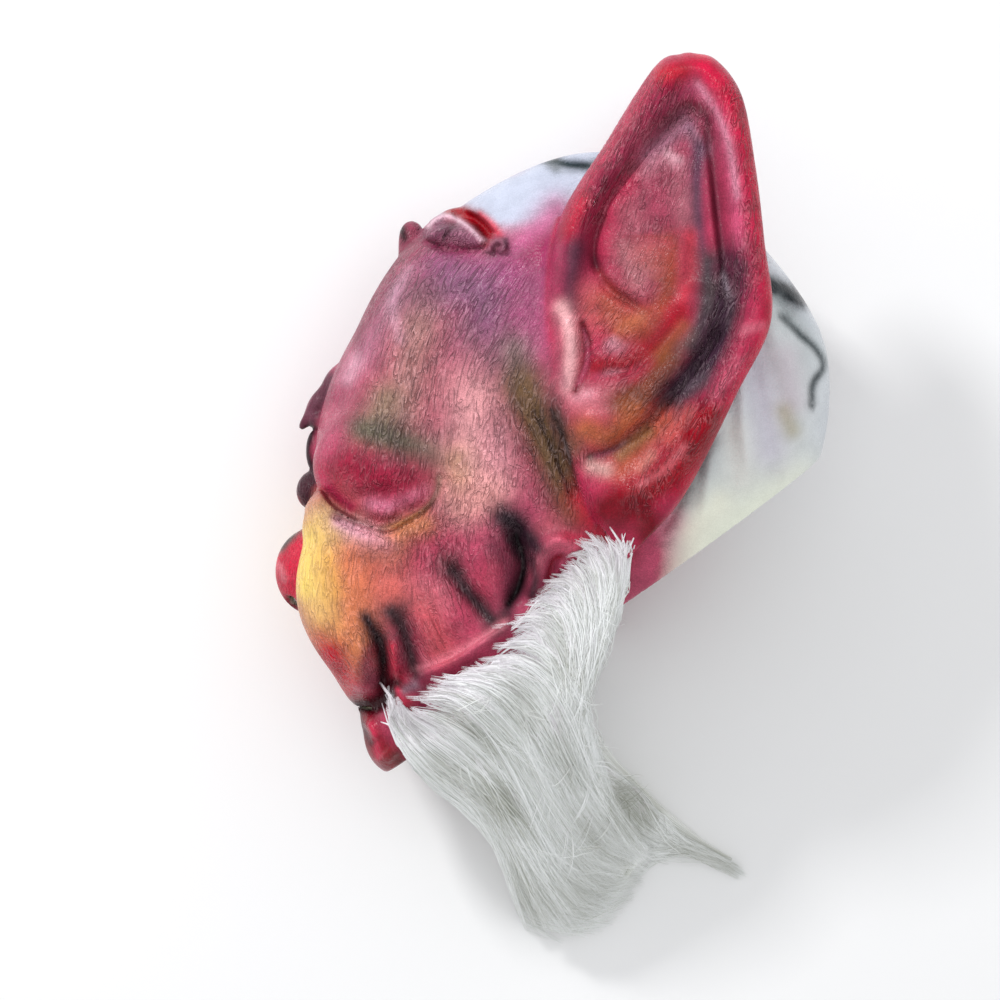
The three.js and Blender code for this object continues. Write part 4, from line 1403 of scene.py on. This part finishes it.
@dataclass
class LatexMask:
    """The mask itself: one casting with the head, both ears and the face."""

    step: float = 1.5
    quick_step: float = 1.95
    low: Triple = (-152.0, -186.0, -85.0)
    high: Triple = (146.0, 184.0, 108.0)
    face_budget: int = 190000
    relax_rounds: int = 3
    feeler: float = 0.3            # how far off the slope is felt
    longest_move: float = 0.8

    def build(self) -> Object:
        """Makes the shell's mesh.

        Returns:
            The object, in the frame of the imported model.
        """
        surface = MaskSurface()
        net = SurfaceNet(self.low, self.high, self.step)
        points, faces = net.mesh(net.sample(surface))
        points = self.settle(surface, points)
        made = new_object("latex_mask_shell", (points + MIDDLE) * MM, faces)
        LOG.info("latex net: %d points, %d faces", len(points), len(faces))
        thin = made.modifiers.new("thin", "DECIMATE")
        thin.ratio = min(1.0, self.face_budget / (2 * len(faces)))
        made = evaluated_copy(made, "latex_mask_shell")
        made.data.polygons.foreach_set("use_smooth", np.ones(len(made.data.polygons), bool))
        PaintJob().dress(made, surface)
        made.data.materials.clear()
        made.data.materials.append(PaintedLatex().material())
        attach(made, "root")
        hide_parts("latex_mask")
        LOG.info("latex_mask: %d triangles", len(made.data.polygons))
        return made

    def settle(self, surface: MaskSurface, points: Array) -> Array:
        """Moves the points onto the surface along its slope."""
        points = points.astype(np.float32)
        for _ in range(self.relax_rounds):
            here = surface.distance(points)
            slope = np.zeros_like(points)
            for axis in range(3):
                step = np.zeros(3, np.float32)
                step[axis] = self.feeler
                slope[:, axis] = (surface.distance(points + step) - here) / self.feeler
            steepness = np.maximum((slope ** 2).sum(1), 0.25)
            move = np.clip(here / steepness, -self.longest_move, self.longest_move)
            points = points - slope * move[:, None]
        return points


@dataclass(frozen=True)
class Lock:
    """One guide of the beard in the picture's view, root to tip, as wide as its hair spreads."""

    path: Path
    lift: float = 0.0


class Growth(Enum):
    """What a guide of the beard carries."""

    TUFT = "hair from one of the tufts at the jaw"
    STRAY = "loose hair over the rest"
    FUZZ = "short hair that lies across"


@dataclass(frozen=True)
class Habit:
    """How hair of one growth wanders: across the locks, and in waves of a reach and a number of turns."""

    drift: float
    reach: tuple[float, float]
    turns: tuple[float, float]


HABITS = {
    Growth.TUFT: Habit(0.42, (1, 6), (3, 8)),
    Growth.STRAY: Habit(1.0, (6, 14), (5, 11)),
    Growth.FUZZ: Habit(0.3, (2, 7), (3, 9)),
}


@dataclass(frozen=True)
class Guides:
    """Guide lines of hair: points in metres, and how far the hair spreads and how grey it is at each."""

    points: Array
    spreads: Array
    patches: Array

    def every(self, step: int, start: int) -> "Guides":
        """Gives each step-th guide from a start."""
        return Guides(self.points[start::step], self.spreads[start::step], self.patches[start::step])


def painted_hair_shade() -> Canvas:
    """Lays the grey patches between the locks: painted shade where the hair lies in shadow."""
    canvas = Canvas()
    for path, width, strength in (
        ([(428, 716), (456, 716), (484, 732), (506, 756)], 12, 0.75),
        ([(424, 752), (460, 772), (494, 790), (512, 806)], 14, 0.7),
        ([(490, 782), (508, 812), (520, 836)], 16, 0.75),
        ([(504, 682), (520, 700), (532, 730)], 13, 0.7),
        ([(548, 612), (556, 640), (570, 668)], 12, 0.45),
        ([(566, 656), (574, 680)], 6, 0.8),
        ([(546, 726), (560, 756), (574, 786)], 9, 0.75),
        ([(576, 812), (592, 834), (604, 850)], 10, 0.75),
        ([(520, 860), (530, 896), (544, 926)], 15, 0.65),
        ([(556, 870), (584, 890), (600, 906)], 30, 0.45),
        ([(600, 800), (626, 806), (648, 830)], 24, 0.85),
        ([(622, 868), (636, 866)], 12, 0.5),
        ([(664, 844), (700, 856), (742, 876)], 14, 0.6),
        ([(404, 716), (418, 730)], 5, 0.5),
    ):
        canvas.raise_by(Stroke(path, width, strength, taper=0.1))
    return canvas


HAIR_SHADE = painted_hair_shade()


@dataclass
class Beard:
    """A weft of hair: a soft mass between two edges, with strands flowing over it.

    The edges are given from root to tip with their heights above the floor, and the flow as locks
    in the picture's view. Strands are laid between neighbouring locks.
    """

    node: str
    near: Sequence[Triple]
    far: Sequence[Triple]
    thick: Sequence[float]
    locks: Sequence[Lock]
    over_jaw: bool
    guides: int
    strands: int
    pieces: int = 1
    tufts: int = 90
    spread: float = 3.4
    radius: float = 0.27
    slim: float = 0.8
    seed: int = 7
    sample: int = 10
    bare: float = 0.05
    strays: int = 50
    fuzz: int = 60
    ripples: tuple[Triple, ...] = ((0.12, 46, 3), (0.07, 118, 5))    # height, ridges and drift

    def mass_points(self, rows: int, round_count: int, heights: "HeightMap") -> Array:
        """Lays the rings of the mass, in millimetres from the head's middle.

        Args:
            rows: Number of rings from root to tip.
            round_count: Points in each ring.
            heights: Heights of the mask's skin.

        Returns:
            An array of rows, ring points and coordinates.
        """
        stations = np.linspace(0, 1, len(self.near))
        share = np.linspace(self.bare, 0.98, rows)
        near, far = (np.stack([np.interp(share, stations, [p[i] for p in edge]) for i in range(3)], 1)
                     for edge in (self.near, self.far))
        half = np.interp(share, stations, self.thick)
        angle = np.linspace(0, 2 * math.pi, round_count, endpoint=False)
        across = (1 - np.cos(angle)) / 2
        rings = near[:, None, :] * (1 - across[None, :, None]) + far[:, None, :] * across[None, :, None]
        half = half * (0.08 + 0.92 * smooth_step(self.bare, self.bare + 0.25, share))
        level = rings[..., 2] + FLOOR
        if self.over_jaw:
            skin = heights.read(rings[..., 0].ravel(), rings[..., 1].ravel()).reshape(level.shape)
            level = np.maximum(level, skin - 1.5)
        ripple = sum(height * np.sin(across[None, :] * ridges + drift * share[:, None])
                     for height, ridges, drift in self.ripples)
        ripple = 1 + ripple * smooth_step(0, 0.2, share)[:, None]
        rings[..., 2] = np.maximum(level + self.slim * half[:, None] * np.sin(angle) * ripple, FLOOR + 0.2)
        return rings

    def mass(self, heights: "HeightMap", look: Material) -> Object:
        """Makes the mass under the strands."""
        rows, round_count = 64, 192
        rings = self.mass_points(rows, round_count, heights)
        middle = rings.mean(1, keepdims=True)
        rings = middle + (rings - middle) * np.array([0.9, 0.9, 1.0])
        points = np.vstack([rings.reshape(-1, 3), rings[0].mean(0), rings[-1].mean(0)])
        faces = []
        for row in range(rows - 1):
            for i in range(round_count):
                j = (i + 1) % round_count
                a, b = row * round_count, (row + 1) * round_count
                faces += [(a + i, a + j, b + j), (a + i, b + j, b + i)]
        first, last = rows * round_count, rows * round_count + 1
        end = (rows - 1) * round_count
        for i in range(round_count):
            j = (i + 1) % round_count
            faces += [(first, j, i), (last, end + i, end + j)]
        made = new_object(self.node + "_mass", (points + MIDDLE) * MM, np.array(faces))
        outward(made)
        share = np.concatenate([np.repeat(np.linspace(0, 1, rows), round_count), [0, 1]])
        patch = HAIR_SHADE.read(VIEW.place(points))[:, 0]
        # the mass is greyed more than most strands: painted shade between them
        streaks = np.random.default_rng(self.seed).uniform(0.3, 1.2, round_count)
        wander = (7 * np.sin(5 * np.linspace(0, 1, rows))).astype(int)
        tint = streaks[(np.arange(round_count)[None, :] + wander[:, None]) % round_count].ravel()
        for name, values in (("along", share), ("tint", np.append(tint, (0.8, 0.8))), ("patch", patch)):
            layer = made.data.attributes.new(name, "FLOAT", "POINT")
            layer.data.foreach_set("value", values.astype(np.float32))
        made.data.materials.append(look)
        return made

    def lock_curves(self, steps: Array) -> Array:
        """Reads every lock at shares of its length, as locks, steps and picture coordinates."""
        curves = []
        for lock in self.locks:
            dense = spline(lock.path, 3.0)
            run = np.concatenate([[0], np.cumsum(np.linalg.norm(np.diff(dense, axis=0), axis=1))])
            curves.append(np.stack([np.interp(steps * run[-1], run, dense[:, i]) for i in range(2)], 1))
        return np.array(curves)

    def route(self, growth: Growth, random: np.random.Generator, curves: Array,
              steps: Array, tufts: Array) -> tuple[Array, Array, Array]:
        """Lays one guide in the picture's view.

        Args:
            growth: What kind of hair the guide carries.
            random: Source of the small differences.
            curves: The locks, read at the steps.
            steps: Shares of a lock's length.
            tufts: Places and starts of the tufts that the hair is set in.

        Returns:
            The guide's points, how far along the hair each lies, and how far across the locks.
        """
        last = len(self.locks) - 1
        if growth is Growth.TUFT:
            place, begin = tufts[:, random.integers(self.tufts)]
            place = place + random.normal(0, 0.05)
            if random.random() < 0.7:
                begin = begin + random.normal(0.030, 0.034)
            else:
                begin = random.uniform(0.02, 0.5)
            begin = max(begin, -0.035)
            finish = random.uniform(0.88, 1.0) if random.random() < 0.65 else random.uniform(0.5, 0.9)
        elif growth is Growth.STRAY:
            place, begin, finish = random.uniform(0, last), random.uniform(0, 0.4), random.uniform(0.5, 1.0)
        else:
            place, begin = random.uniform(0.5, last - 0.5), random.uniform(0.1, 0.75)
            finish = begin + random.uniform(0.08, 0.2)
        habit = HABITS[growth]
        drift = random.normal(0, habit.drift)
        reach, turns = random.uniform(*habit.reach), random.uniform(*habit.turns)
        inner = begin + (finish - begin) * steps
        across = np.clip(place + drift * np.maximum(inner, 0) ** 1.3, 0, last)
        index = np.minimum(across.astype(int), last - 1)
        weight = (across - index)[:, None]
        path = np.empty((len(steps), 2))
        for k, (i, spot) in enumerate(zip(index, inner)):
            ends = [[np.interp(spot, steps, curves[j, :, n]) for n in range(2)] for j in (i, i + 1)]
            path[k] = np.array(ends[0]) * (1 - weight[k]) + np.array(ends[1]) * weight[k]
            if spot < 0:
                path[k] += (curves[i, 0] - curves[i, 1]) / steps[1] * -spot
        side = np.gradient(path, axis=0)
        side = np.stack([-side[:, 1], side[:, 0]], 1) / (np.linalg.norm(side, axis=1, keepdims=True) + 1e-6)
        wave = np.sin(random.uniform(0, 2 * math.pi) + inner * turns)
        path = path + side * (reach * steps * wave)[:, None]
        if growth is Growth.TUFT:
            path[0] += random.normal(0, 4.0, 2)
        if growth is Growth.FUZZ:
            middle = path.mean(0)
            path = middle + np.stack(turned(*(path - middle).T, random.normal(0, 0.8)), 1)
        return path, inner, across

    def flow(self, random: np.random.Generator, heights: "HeightMap") -> Guides:
        """Lays the guides of the hair.

        Args:
            random: Source of the small differences between guides.
            heights: Heights of the mask's skin and the mass, which the hair lies on.

        Returns:
            The guides, each with its own values.
        """
        steps = np.linspace(0, 1, self.sample) ** 1.35
        curves = self.lock_curves(steps)
        lifts = np.array([lock.lift for lock in self.locks])
        last = len(self.locks) - 1
        tufts = np.stack([(np.arange(self.tufts) + random.uniform(0.1, 0.9, self.tufts)) / self.tufts * last,
                          random.uniform(-0.025, 0.05, self.tufts)])
        kinds = [Growth.TUFT] * self.guides + [Growth.STRAY] * self.strays + [Growth.FUZZ] * self.fuzz
        made, spreads, patches = [], [], []
        for growth in kinds:
            path, inner, across = self.route(growth, random, curves, steps, tufts)
            points = heights.under(path)
            rise = np.sin(np.pi * np.clip(inner, 0.02, 1)) ** 0.5
            extra = {Growth.TUFT: random.uniform(-1.5, 3.0), Growth.STRAY: 4.5, Growth.FUZZ: 3.0}[growth]
            points[:, 2] += 1.2 + (np.interp(across, np.arange(last + 1), lifts) + extra) * rise
            for _ in range(3):
                level = points[:, 2].copy()
                level[1:-1] = np.maximum(level[1:-1], 0.5 * (level[:-2] + level[2:]))
                points[:, 2] = level
            made.append(VIEW.spot(path, np.maximum(points[:, 2], FLOOR + 0.8)))
            grown = np.sin(np.pi * np.clip(steps * 0.86 + 0.02, 0, 1)) ** 0.75
            tuft = self.spread * random.uniform(0.35, 1.5)
            wide = {Growth.TUFT: tuft, Growth.STRAY: 6.0, Growth.FUZZ: 7.0}[growth]
            inward = np.clip(0.6 * np.minimum(across, last - across) + 0.15, 0.15, 1)
            spreads.append(wide * (0.12 + 0.88 * grown) * inward)
            patches.append(HAIR_SHADE.read(path)[:, 0] * random.uniform(0.5, 1.0))
        return Guides((np.array(made) + MIDDLE) * MM, np.array(spreads) * MM, np.clip(patches, 0, 1))

    def strands_of(self, guides: Guides, name: str, seed: int, look: Material) -> Object:
        """Turns guides into thin tapering strands.

        Args:
            guides: The guides of the strands.
            name: Name of the made object.
            seed: Seed of the strands' differences.
            look: The hair's material.

        Returns:
            A plain mesh object.
        """
        count, sample = guides.points.shape[:2]
        mesh = bpy.data.meshes.new(name)
        start = (np.arange(count) * sample)[:, None] + np.arange(sample - 1)[None, :]
        edges = np.stack([start.ravel(), start.ravel() + 1], 1)
        mesh.from_pydata(guides.points.reshape(-1, 3).tolist(), edges.tolist(), [])
        for label, values in (("along", np.tile(np.linspace(0, 1, sample), count)),
                              ("spread", guides.spreads.ravel()), ("patch", guides.patches.ravel())):
            layer = mesh.attributes.new(label, "FLOAT", "POINT")
            layer.data.foreach_set("value", values.astype(np.float32))
        source = placed(name + "_guides", mesh)
        tree = hair_tree()
        grow = source.modifiers.new("strands", "NODES")
        grow.node_group = tree
        values = {"Strands": self.strands,
                  "Radius": self.radius * MM, "Wave": 0.0014, "Seed": seed, "Material": look}
        for item in tree.interface.items_tree:
            if item.in_out == "INPUT" and item.name in values:
                grow[item.identifier] = values[item.name]
        return evaluated_copy(source, name)

    def build(self, heights: "HeightMap", look: Material) -> None:
        """Makes the mass and the strands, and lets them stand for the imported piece."""
        random = np.random.default_rng(self.seed)
        made = [self.mass(heights, look)]
        over = heights.with_mass(self.mass_points(160, 240, heights))
        guides = self.flow(random, over)
        for i in range(self.pieces):
            made.append(self.strands_of(guides.every(self.pieces, i), "%s_strands_%d" % (self.node, i + 1),
                                        self.seed + i, look))
        for piece in made:
            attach(piece, "root")
            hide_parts(self.node)
            piece.data.calc_loop_triangles()
            LOG.info("%s: %d triangles", piece.name, len(piece.data.loop_triangles))


def outward(made: Object) -> None:
    """Turns all faces of a closed mesh outwards."""
    shape = bmesh.new()
    shape.from_mesh(made.data)
    bmesh.ops.recalc_face_normals(shape, faces=shape.faces)
    shape.to_mesh(made.data)
    shape.free()


def hair_tree() -> NodeTree:
    """Builds the node tree that grows strands round guide lines, or gives the one already built."""
    if "hair_strands" in bpy.data.node_groups:
        return bpy.data.node_groups["hair_strands"]
    tree = bpy.data.node_groups.new("hair_strands", "GeometryNodeTree")
    for name, kind in (("Geometry", "Geometry"), ("Strands", "Int"), ("Radius", "Float"), ("Wave", "Float"),
                       ("Seed", "Int"), ("Material", "Material")):
        tree.interface.new_socket(name, in_out="INPUT", socket_type="NodeSocket" + kind)
    tree.interface.new_socket("Geometry", in_out="OUTPUT", socket_type="NodeSocketGeometry")
    sheet = NodeSheet(tree)
    given = sheet.add("NodeGroupInput").outputs
    along = sheet.add("GeometryNodeInputNamedAttribute", {"Name": "along"}).outputs["Attribute"]
    spread = sheet.add("GeometryNodeInputNamedAttribute", {"Name": "spread"}).outputs["Attribute"]
    lines = sheet.add("GeometryNodeMeshToCurve", {"Mesh": given["Geometry"]})
    many = sheet.add("GeometryNodeDuplicateElements", {"Geometry": lines.outputs[0],
                                                       "Amount": given["Strands"]}, domain="SPLINE")
    strand = sheet.add("GeometryNodeCurveOfPoint").outputs["Curve Index"]
    disc = sheet.add("FunctionNodeRandomValue", {0: (-1, -1, -0.15), 1: (1, 1, 0.5), "ID": strand,
                                                 "Seed": given["Seed"]}, data_type="FLOAT_VECTOR")
    stand = sheet.vector("SCALE", disc.outputs[0], spread)
    place = sheet.add("GeometryNodeInputPosition").outputs[0]
    own = sheet.add("FunctionNodeRandomValue", {2: 0.0, 3: 50.0, "ID": strand, "Seed": given["Seed"]})
    sway = sheet.add("ShaderNodeTexNoise", {"Vector": place, "W": own.outputs[1], "Scale": 22.0,
                                            "Detail": 1.0}, noise_dimensions="4D")
    centred = sheet.vector("SUBTRACT", sway.outputs["Color"], (0.5, 0.5, 0.5))
    grown = sheet.times(sheet.math("ADD", sheet.times(along, 4.0), 1.0), given["Wave"])
    offset = sheet.vector("ADD", stand, sheet.vector("SCALE", centred, grown))
    moved = sheet.add("GeometryNodeSetPosition", {"Geometry": many.outputs[0], "Offset": offset})
    high = sheet.add("ShaderNodeSeparateXYZ", {0: sheet.add("GeometryNodeInputPosition").outputs[0]})
    kept = sheet.add("ShaderNodeCombineXYZ", {0: high.outputs[0], 1: high.outputs[1],
                                              2: sheet.math("MAXIMUM", high.outputs[2], 0.0006)})
    moved = sheet.add("GeometryNodeSetPosition", {"Geometry": moved.outputs[0], "Position": kept.outputs[0]})
    shade = sheet.add("FunctionNodeRandomValue", {2: 0.0, 3: 1.0, "ID": strand, "Seed": 3})
    squared = sheet.math("POWER", shade.outputs[1], 2.5)
    tinted = sheet.add("GeometryNodeStoreNamedAttribute", {"Geometry": moved.outputs[0], "Name": "tint",
                                                           "Value": squared}, domain="POINT")
    tip = sheet.math("SUBTRACT", 1.0, sheet.times(sheet.math("POWER", along, 2.0), 0.78))
    start = sheet.add("ShaderNodeMapRange", {0: along, 1: 0.0, 2: 0.22, 3: 0.16, 4: 1.0}).outputs[0]
    girth = sheet.add("FunctionNodeRandomValue", {2: 0.6, 3: 1.25, "ID": strand, "Seed": 5}).outputs[1]
    slim = sheet.times(sheet.times(tip, start), girth)
    ring = sheet.add("GeometryNodeCurvePrimitiveCircle", {"Resolution": 3, "Radius": given["Radius"]})
    tube = sheet.add("GeometryNodeCurveToMesh", {"Curve": tinted.outputs[0], "Profile Curve": ring.outputs[0],
                                                 "Scale": slim, "Fill Caps": True})
    smooth = sheet.add("GeometryNodeSetShadeSmooth", {"Geometry": tube.outputs[0], "Shade Smooth": True})
    real = sheet.add("GeometryNodeRealizeInstances", {"Geometry": smooth.outputs[0]})
    dressed = sheet.add("GeometryNodeSetMaterial", {"Geometry": real.outputs[0],
                                                    "Material": given["Material"]})
    sheet.add("NodeGroupOutput", {0: dressed.outputs[0]})
    return tree


class HeightMap:
    """Heights of whatever lies highest over each place of the floor, one value a cell."""

    low = np.array([-170.0, -300.0])
    cell = 2.0
    rows, columns = 260, 170
    ceiling = 160.0

    def __init__(self, values: Array | None = None) -> None:
        """Starts with the floor, or with given heights."""
        self.values = np.full((self.rows, self.columns), FLOOR) if values is None else values

    def lay(self, points: Array) -> None:
        """Raises the map to the given points."""
        column, row = ((points[:, :2] - self.low) / self.cell).astype(int).T
        keep = (column >= 0) & (row >= 0) & (column < self.columns) & (row < self.rows)
        np.maximum.at(self.values, (row[keep], column[keep]), points[keep, 2])

    def drape(self, made: Object) -> None:
        """Raises the map to the upper side of a made object, met by rays from above."""
        bpy.context.view_layer.update()
        for row in range(self.rows):
            for column in range(self.columns):
                x, y = self.low + (np.array([column, row]) + 0.5) * self.cell
                start = (np.array([x, y, self.ceiling]) + MIDDLE) * MM
                hit, spot, _, _ = made.ray_cast(start.tolist(), (0, 0, -1))
                if hit:
                    self.values[row, column] = max(self.values[row, column], spot[2] / MM - MIDDLE[2])

    def read(self, x: Array, y: Array) -> Array:
        """Reads the height under places."""
        column, row = (x - self.low[0]) / self.cell - 0.5, (y - self.low[1]) / self.cell - 0.5
        return read_grid(self.values, column, row)

    def with_mass(self, rings: Array) -> "HeightMap":
        """Gives a copy that a beard's mass is laid on."""
        over = HeightMap(self.values.copy())
        over.lay(rings.reshape(-1, 3))
        for _ in range(2):
            over.values = 0.4 * over.values + 0.15 * sum(self.shifted(over.values))
        over.values = np.max([over.values, self.values, *self.shifted(self.values)], 0)
        return over

    @staticmethod
    def shifted(values: Array) -> list[Array]:
        """Gives the map moved by one cell to each of the four sides."""
        return [np.roll(values, step, axis) for axis in (0, 1) for step in (-1, 1)]

    def under(self, places: Array) -> Array:
        """Finds the points of the map that show at picture places."""
        height = np.full(len(places), 0.0)
        for _ in range(6):
            points = VIEW.spot(places, height)
            height = 0.5 * height + 0.5 * self.read(points[:, 0], points[:, 1])
        return VIEW.spot(places, height)


LEFT_LOCKS = (
    Lock([(389, 702), (386, 716), (391, 734), (404, 754), (420, 778), (444, 798), (474, 818), (496, 848),
          (508, 882), (518, 914), (536, 936), (566, 944)]),
    Lock([(391, 701), (396, 718), (412, 738), (436, 756), (466, 774), (494, 800), (514, 834), (530, 872),
          (546, 908), (572, 934), (610, 924)], 3),
    Lock([(394, 702), (408, 720), (430, 734), (458, 752), (486, 776), (510, 806), (530, 840), (548, 876),
          (568, 904), (596, 920), (630, 900)], 5),
    Lock([(412, 719), (430, 726), (456, 742), (482, 764), (506, 794), (526, 828), (548, 864), (572, 892),
          (604, 908), (636, 888)], 5),
    Lock([(428, 703), (450, 704), (474, 718), (496, 742), (516, 772), (538, 808), (560, 846), (584, 876),
          (614, 892), (642, 878)], 6),
    Lock([(432, 688), (456, 687), (482, 698), (506, 722), (526, 752), (546, 788), (568, 824), (592, 852),
          (618, 868), (642, 866)], 7),
    Lock([(450, 678), (478, 676), (504, 684), (528, 706), (546, 736), (562, 770), (580, 804), (600, 832),
          (622, 850), (644, 862)], 6),
    Lock([(480, 670), (504, 662), (530, 669), (552, 691), (566, 722), (578, 757), (592, 791), (608, 821),
          (626, 844), (648, 862)], 6),
    Lock([(504, 648), (522, 641), (544, 651), (564, 678), (578, 709), (588, 741), (598, 775), (610, 807),
          (624, 832), (644, 856)], 5),
    Lock([(514, 626), (534, 614), (551, 628), (566, 656), (573, 686), (575, 715), (581, 747), (593, 779),
          (608, 808), (630, 838)], 3),
    Lock([(540, 600), (560, 591), (573, 610), (580, 642), (579, 674), (573, 703), (573, 735), (585, 766),
          (600, 794), (622, 824)], 3),
    Lock([(554, 580), (574, 575), (586, 599), (591, 631), (587, 663), (577, 693), (571, 721), (574, 751),
          (588, 776), (609, 804)], 2),
    Lock([(578, 549), (594, 558), (601, 586), (602, 617), (594, 649), (583, 679), (572, 706), (570, 732),
          (580, 757), (597, 783)], 2),
    Lock([(598, 538), (611, 553), (616, 583), (613, 609), (603, 639), (591, 665), (580, 690), (572, 713),
          (573, 735), (587, 765)], 1),
    Lock([(634, 532), (632, 555), (627, 584), (620, 611), (609, 637), (597, 660), (587, 683), (577, 706),
          (575, 728), (585, 755)]),
)

RIGHT_LOCKS = (
    Lock([(560, 760), (590, 782), (612, 810), (628, 838), (644, 850), (656, 852), (668, 846), (682, 846),
          (712, 862), (742, 877)]),
    Lock([(580, 760), (604, 780), (624, 800), (640, 822), (652, 836), (664, 840), (678, 842), (696, 850),
          (720, 863), (745, 878)]),
    Lock([(590, 760), (614, 772), (636, 788), (652, 806), (664, 824), (676, 836), (690, 842), (704, 852),
          (726, 864), (748, 878)]),
    Lock([(560, 800), (590, 830), (612, 856), (626, 876), (640, 876), (650, 862), (658, 850), (668, 842),
          (680, 842), (700, 852)]),
)

LEFT_BEARD = Beard(
    "left_beard",
    ((-88, -144, 100), (-80, -170, 92), (-58, -192, 72), (-33, -222, 44), (-16, -244, 26), (-8, -262, 13),
     (8, -274, 7)),
    ((33, -66, 138), (29, -92, 132), (15, -126, 112), (8, -154, 88), (23, -186, 59), (48, -226, 30),
     (20, -272, 7)),
    (9, 12, 16, 17, 15, 13, 7), LEFT_LOCKS, True, 860, 10, 3, seed=11, bare=0.09)

RIGHT_BEARD = Beard(
    "right_beard",
    ((-70, -138, 24), (-38, -166, 17), (-6, -188, 11), (24, -206, 8), (52, -214, 6), (77, -226, 3),
     (96, -236, 2)),
    ((14, -96, 24), (10, -122, 17), (14, -150, 11), (32, -177, 8), (56, -203, 6), (79, -223, 3),
     (97, -234, 2)),
    (8, 8, 7, 6, 4, 3, 2), RIGHT_LOCKS, False, 150, 11, 1, 30, 1.1, seed=23, strays=5, fuzz=6)


@dataclass(frozen=True)
class Lamp:
    """A square soft light that looks at the mask."""

    name: str
    place: Triple
    size: float
    power: float

    def hang(self) -> None:
        """Adds the light to the scene."""
        light = bpy.data.lights.new(self.name, "AREA")
        light.size = self.size
        light.energy = self.power
        lamp = placed(self.name, light)
        lamp.location = self.place
        aim = Vector((-0.02, 0.03, 0.08)) - Vector(self.place)
        lamp.rotation_euler = aim.to_track_quat("-Z", "Y").to_euler()


@dataclass
class Studio:
    """A pale floor, soft daylight from the upper left, and the camera straight above."""

    floor_side: float = 12.0
    ambient: float = 0.72
    lamps: tuple[Lamp, ...] = (
        Lamp("window", (-0.85, 1.05, 1.15), 0.25, 15),
        Lamp("sky", (0.1, 0.4, 3.2), 2.2, 14),
    )

    def build(self) -> None:
        """Adds everything round the mask."""
        half = self.floor_side / 2
        corners = [(-half, -half, 0), (half, -half, 0), (half, half, 0), (-half, half, 0)]
        sheet = bpy.data.meshes.new("floor")
        sheet.from_pydata(corners, [], [(0, 1, 2, 3)])
        look = bpy.data.materials.new("pale_floor")
        look.use_nodes = True
        shader = look.node_tree.nodes["Principled BSDF"]
        shader.inputs["Base Color"].default_value = (0.93, 0.93, 0.93, 1)
        shader.inputs["Roughness"].default_value = 0.9
        sheet.materials.append(look)
        placed("floor", sheet)
        world = bpy.data.worlds.new("daylight")
        bpy.context.scene.world = world
        world.use_nodes = True
        world.node_tree.nodes["Background"].inputs["Color"].default_value = (0.97, 0.98, 1.0, 1)
        world.node_tree.nodes["Background"].inputs["Strength"].default_value = self.ambient
        for lamp in self.lamps:
            lamp.hang()
        eye = bpy.data.cameras.new("camera")
        eye.lens = VIEW.lens()
        eye.sensor_width = VIEW.sensor
        eye.clip_end = 20
        camera = placed("camera", eye)
        camera.location = (VIEW.centre[0] * MM, VIEW.centre[1] * MM, VIEW.height * MM)
        bpy.context.scene.camera = camera
        bpy.context.scene.view_settings.view_transform = "Standard"


def main() -> None:
    """Builds every piece in order."""
    logging.basicConfig(level=logging.INFO, format="%(name)s: %(message)s")
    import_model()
    mask = LatexMask().build()
    skin = HeightMap()
    skin.drape(mask)
    look = PaleHair().material()
    for beard in (LEFT_BEARD, RIGHT_BEARD):
        beard.build(skin, look)
    Studio().build()


if __name__ == "__main__":
    main()
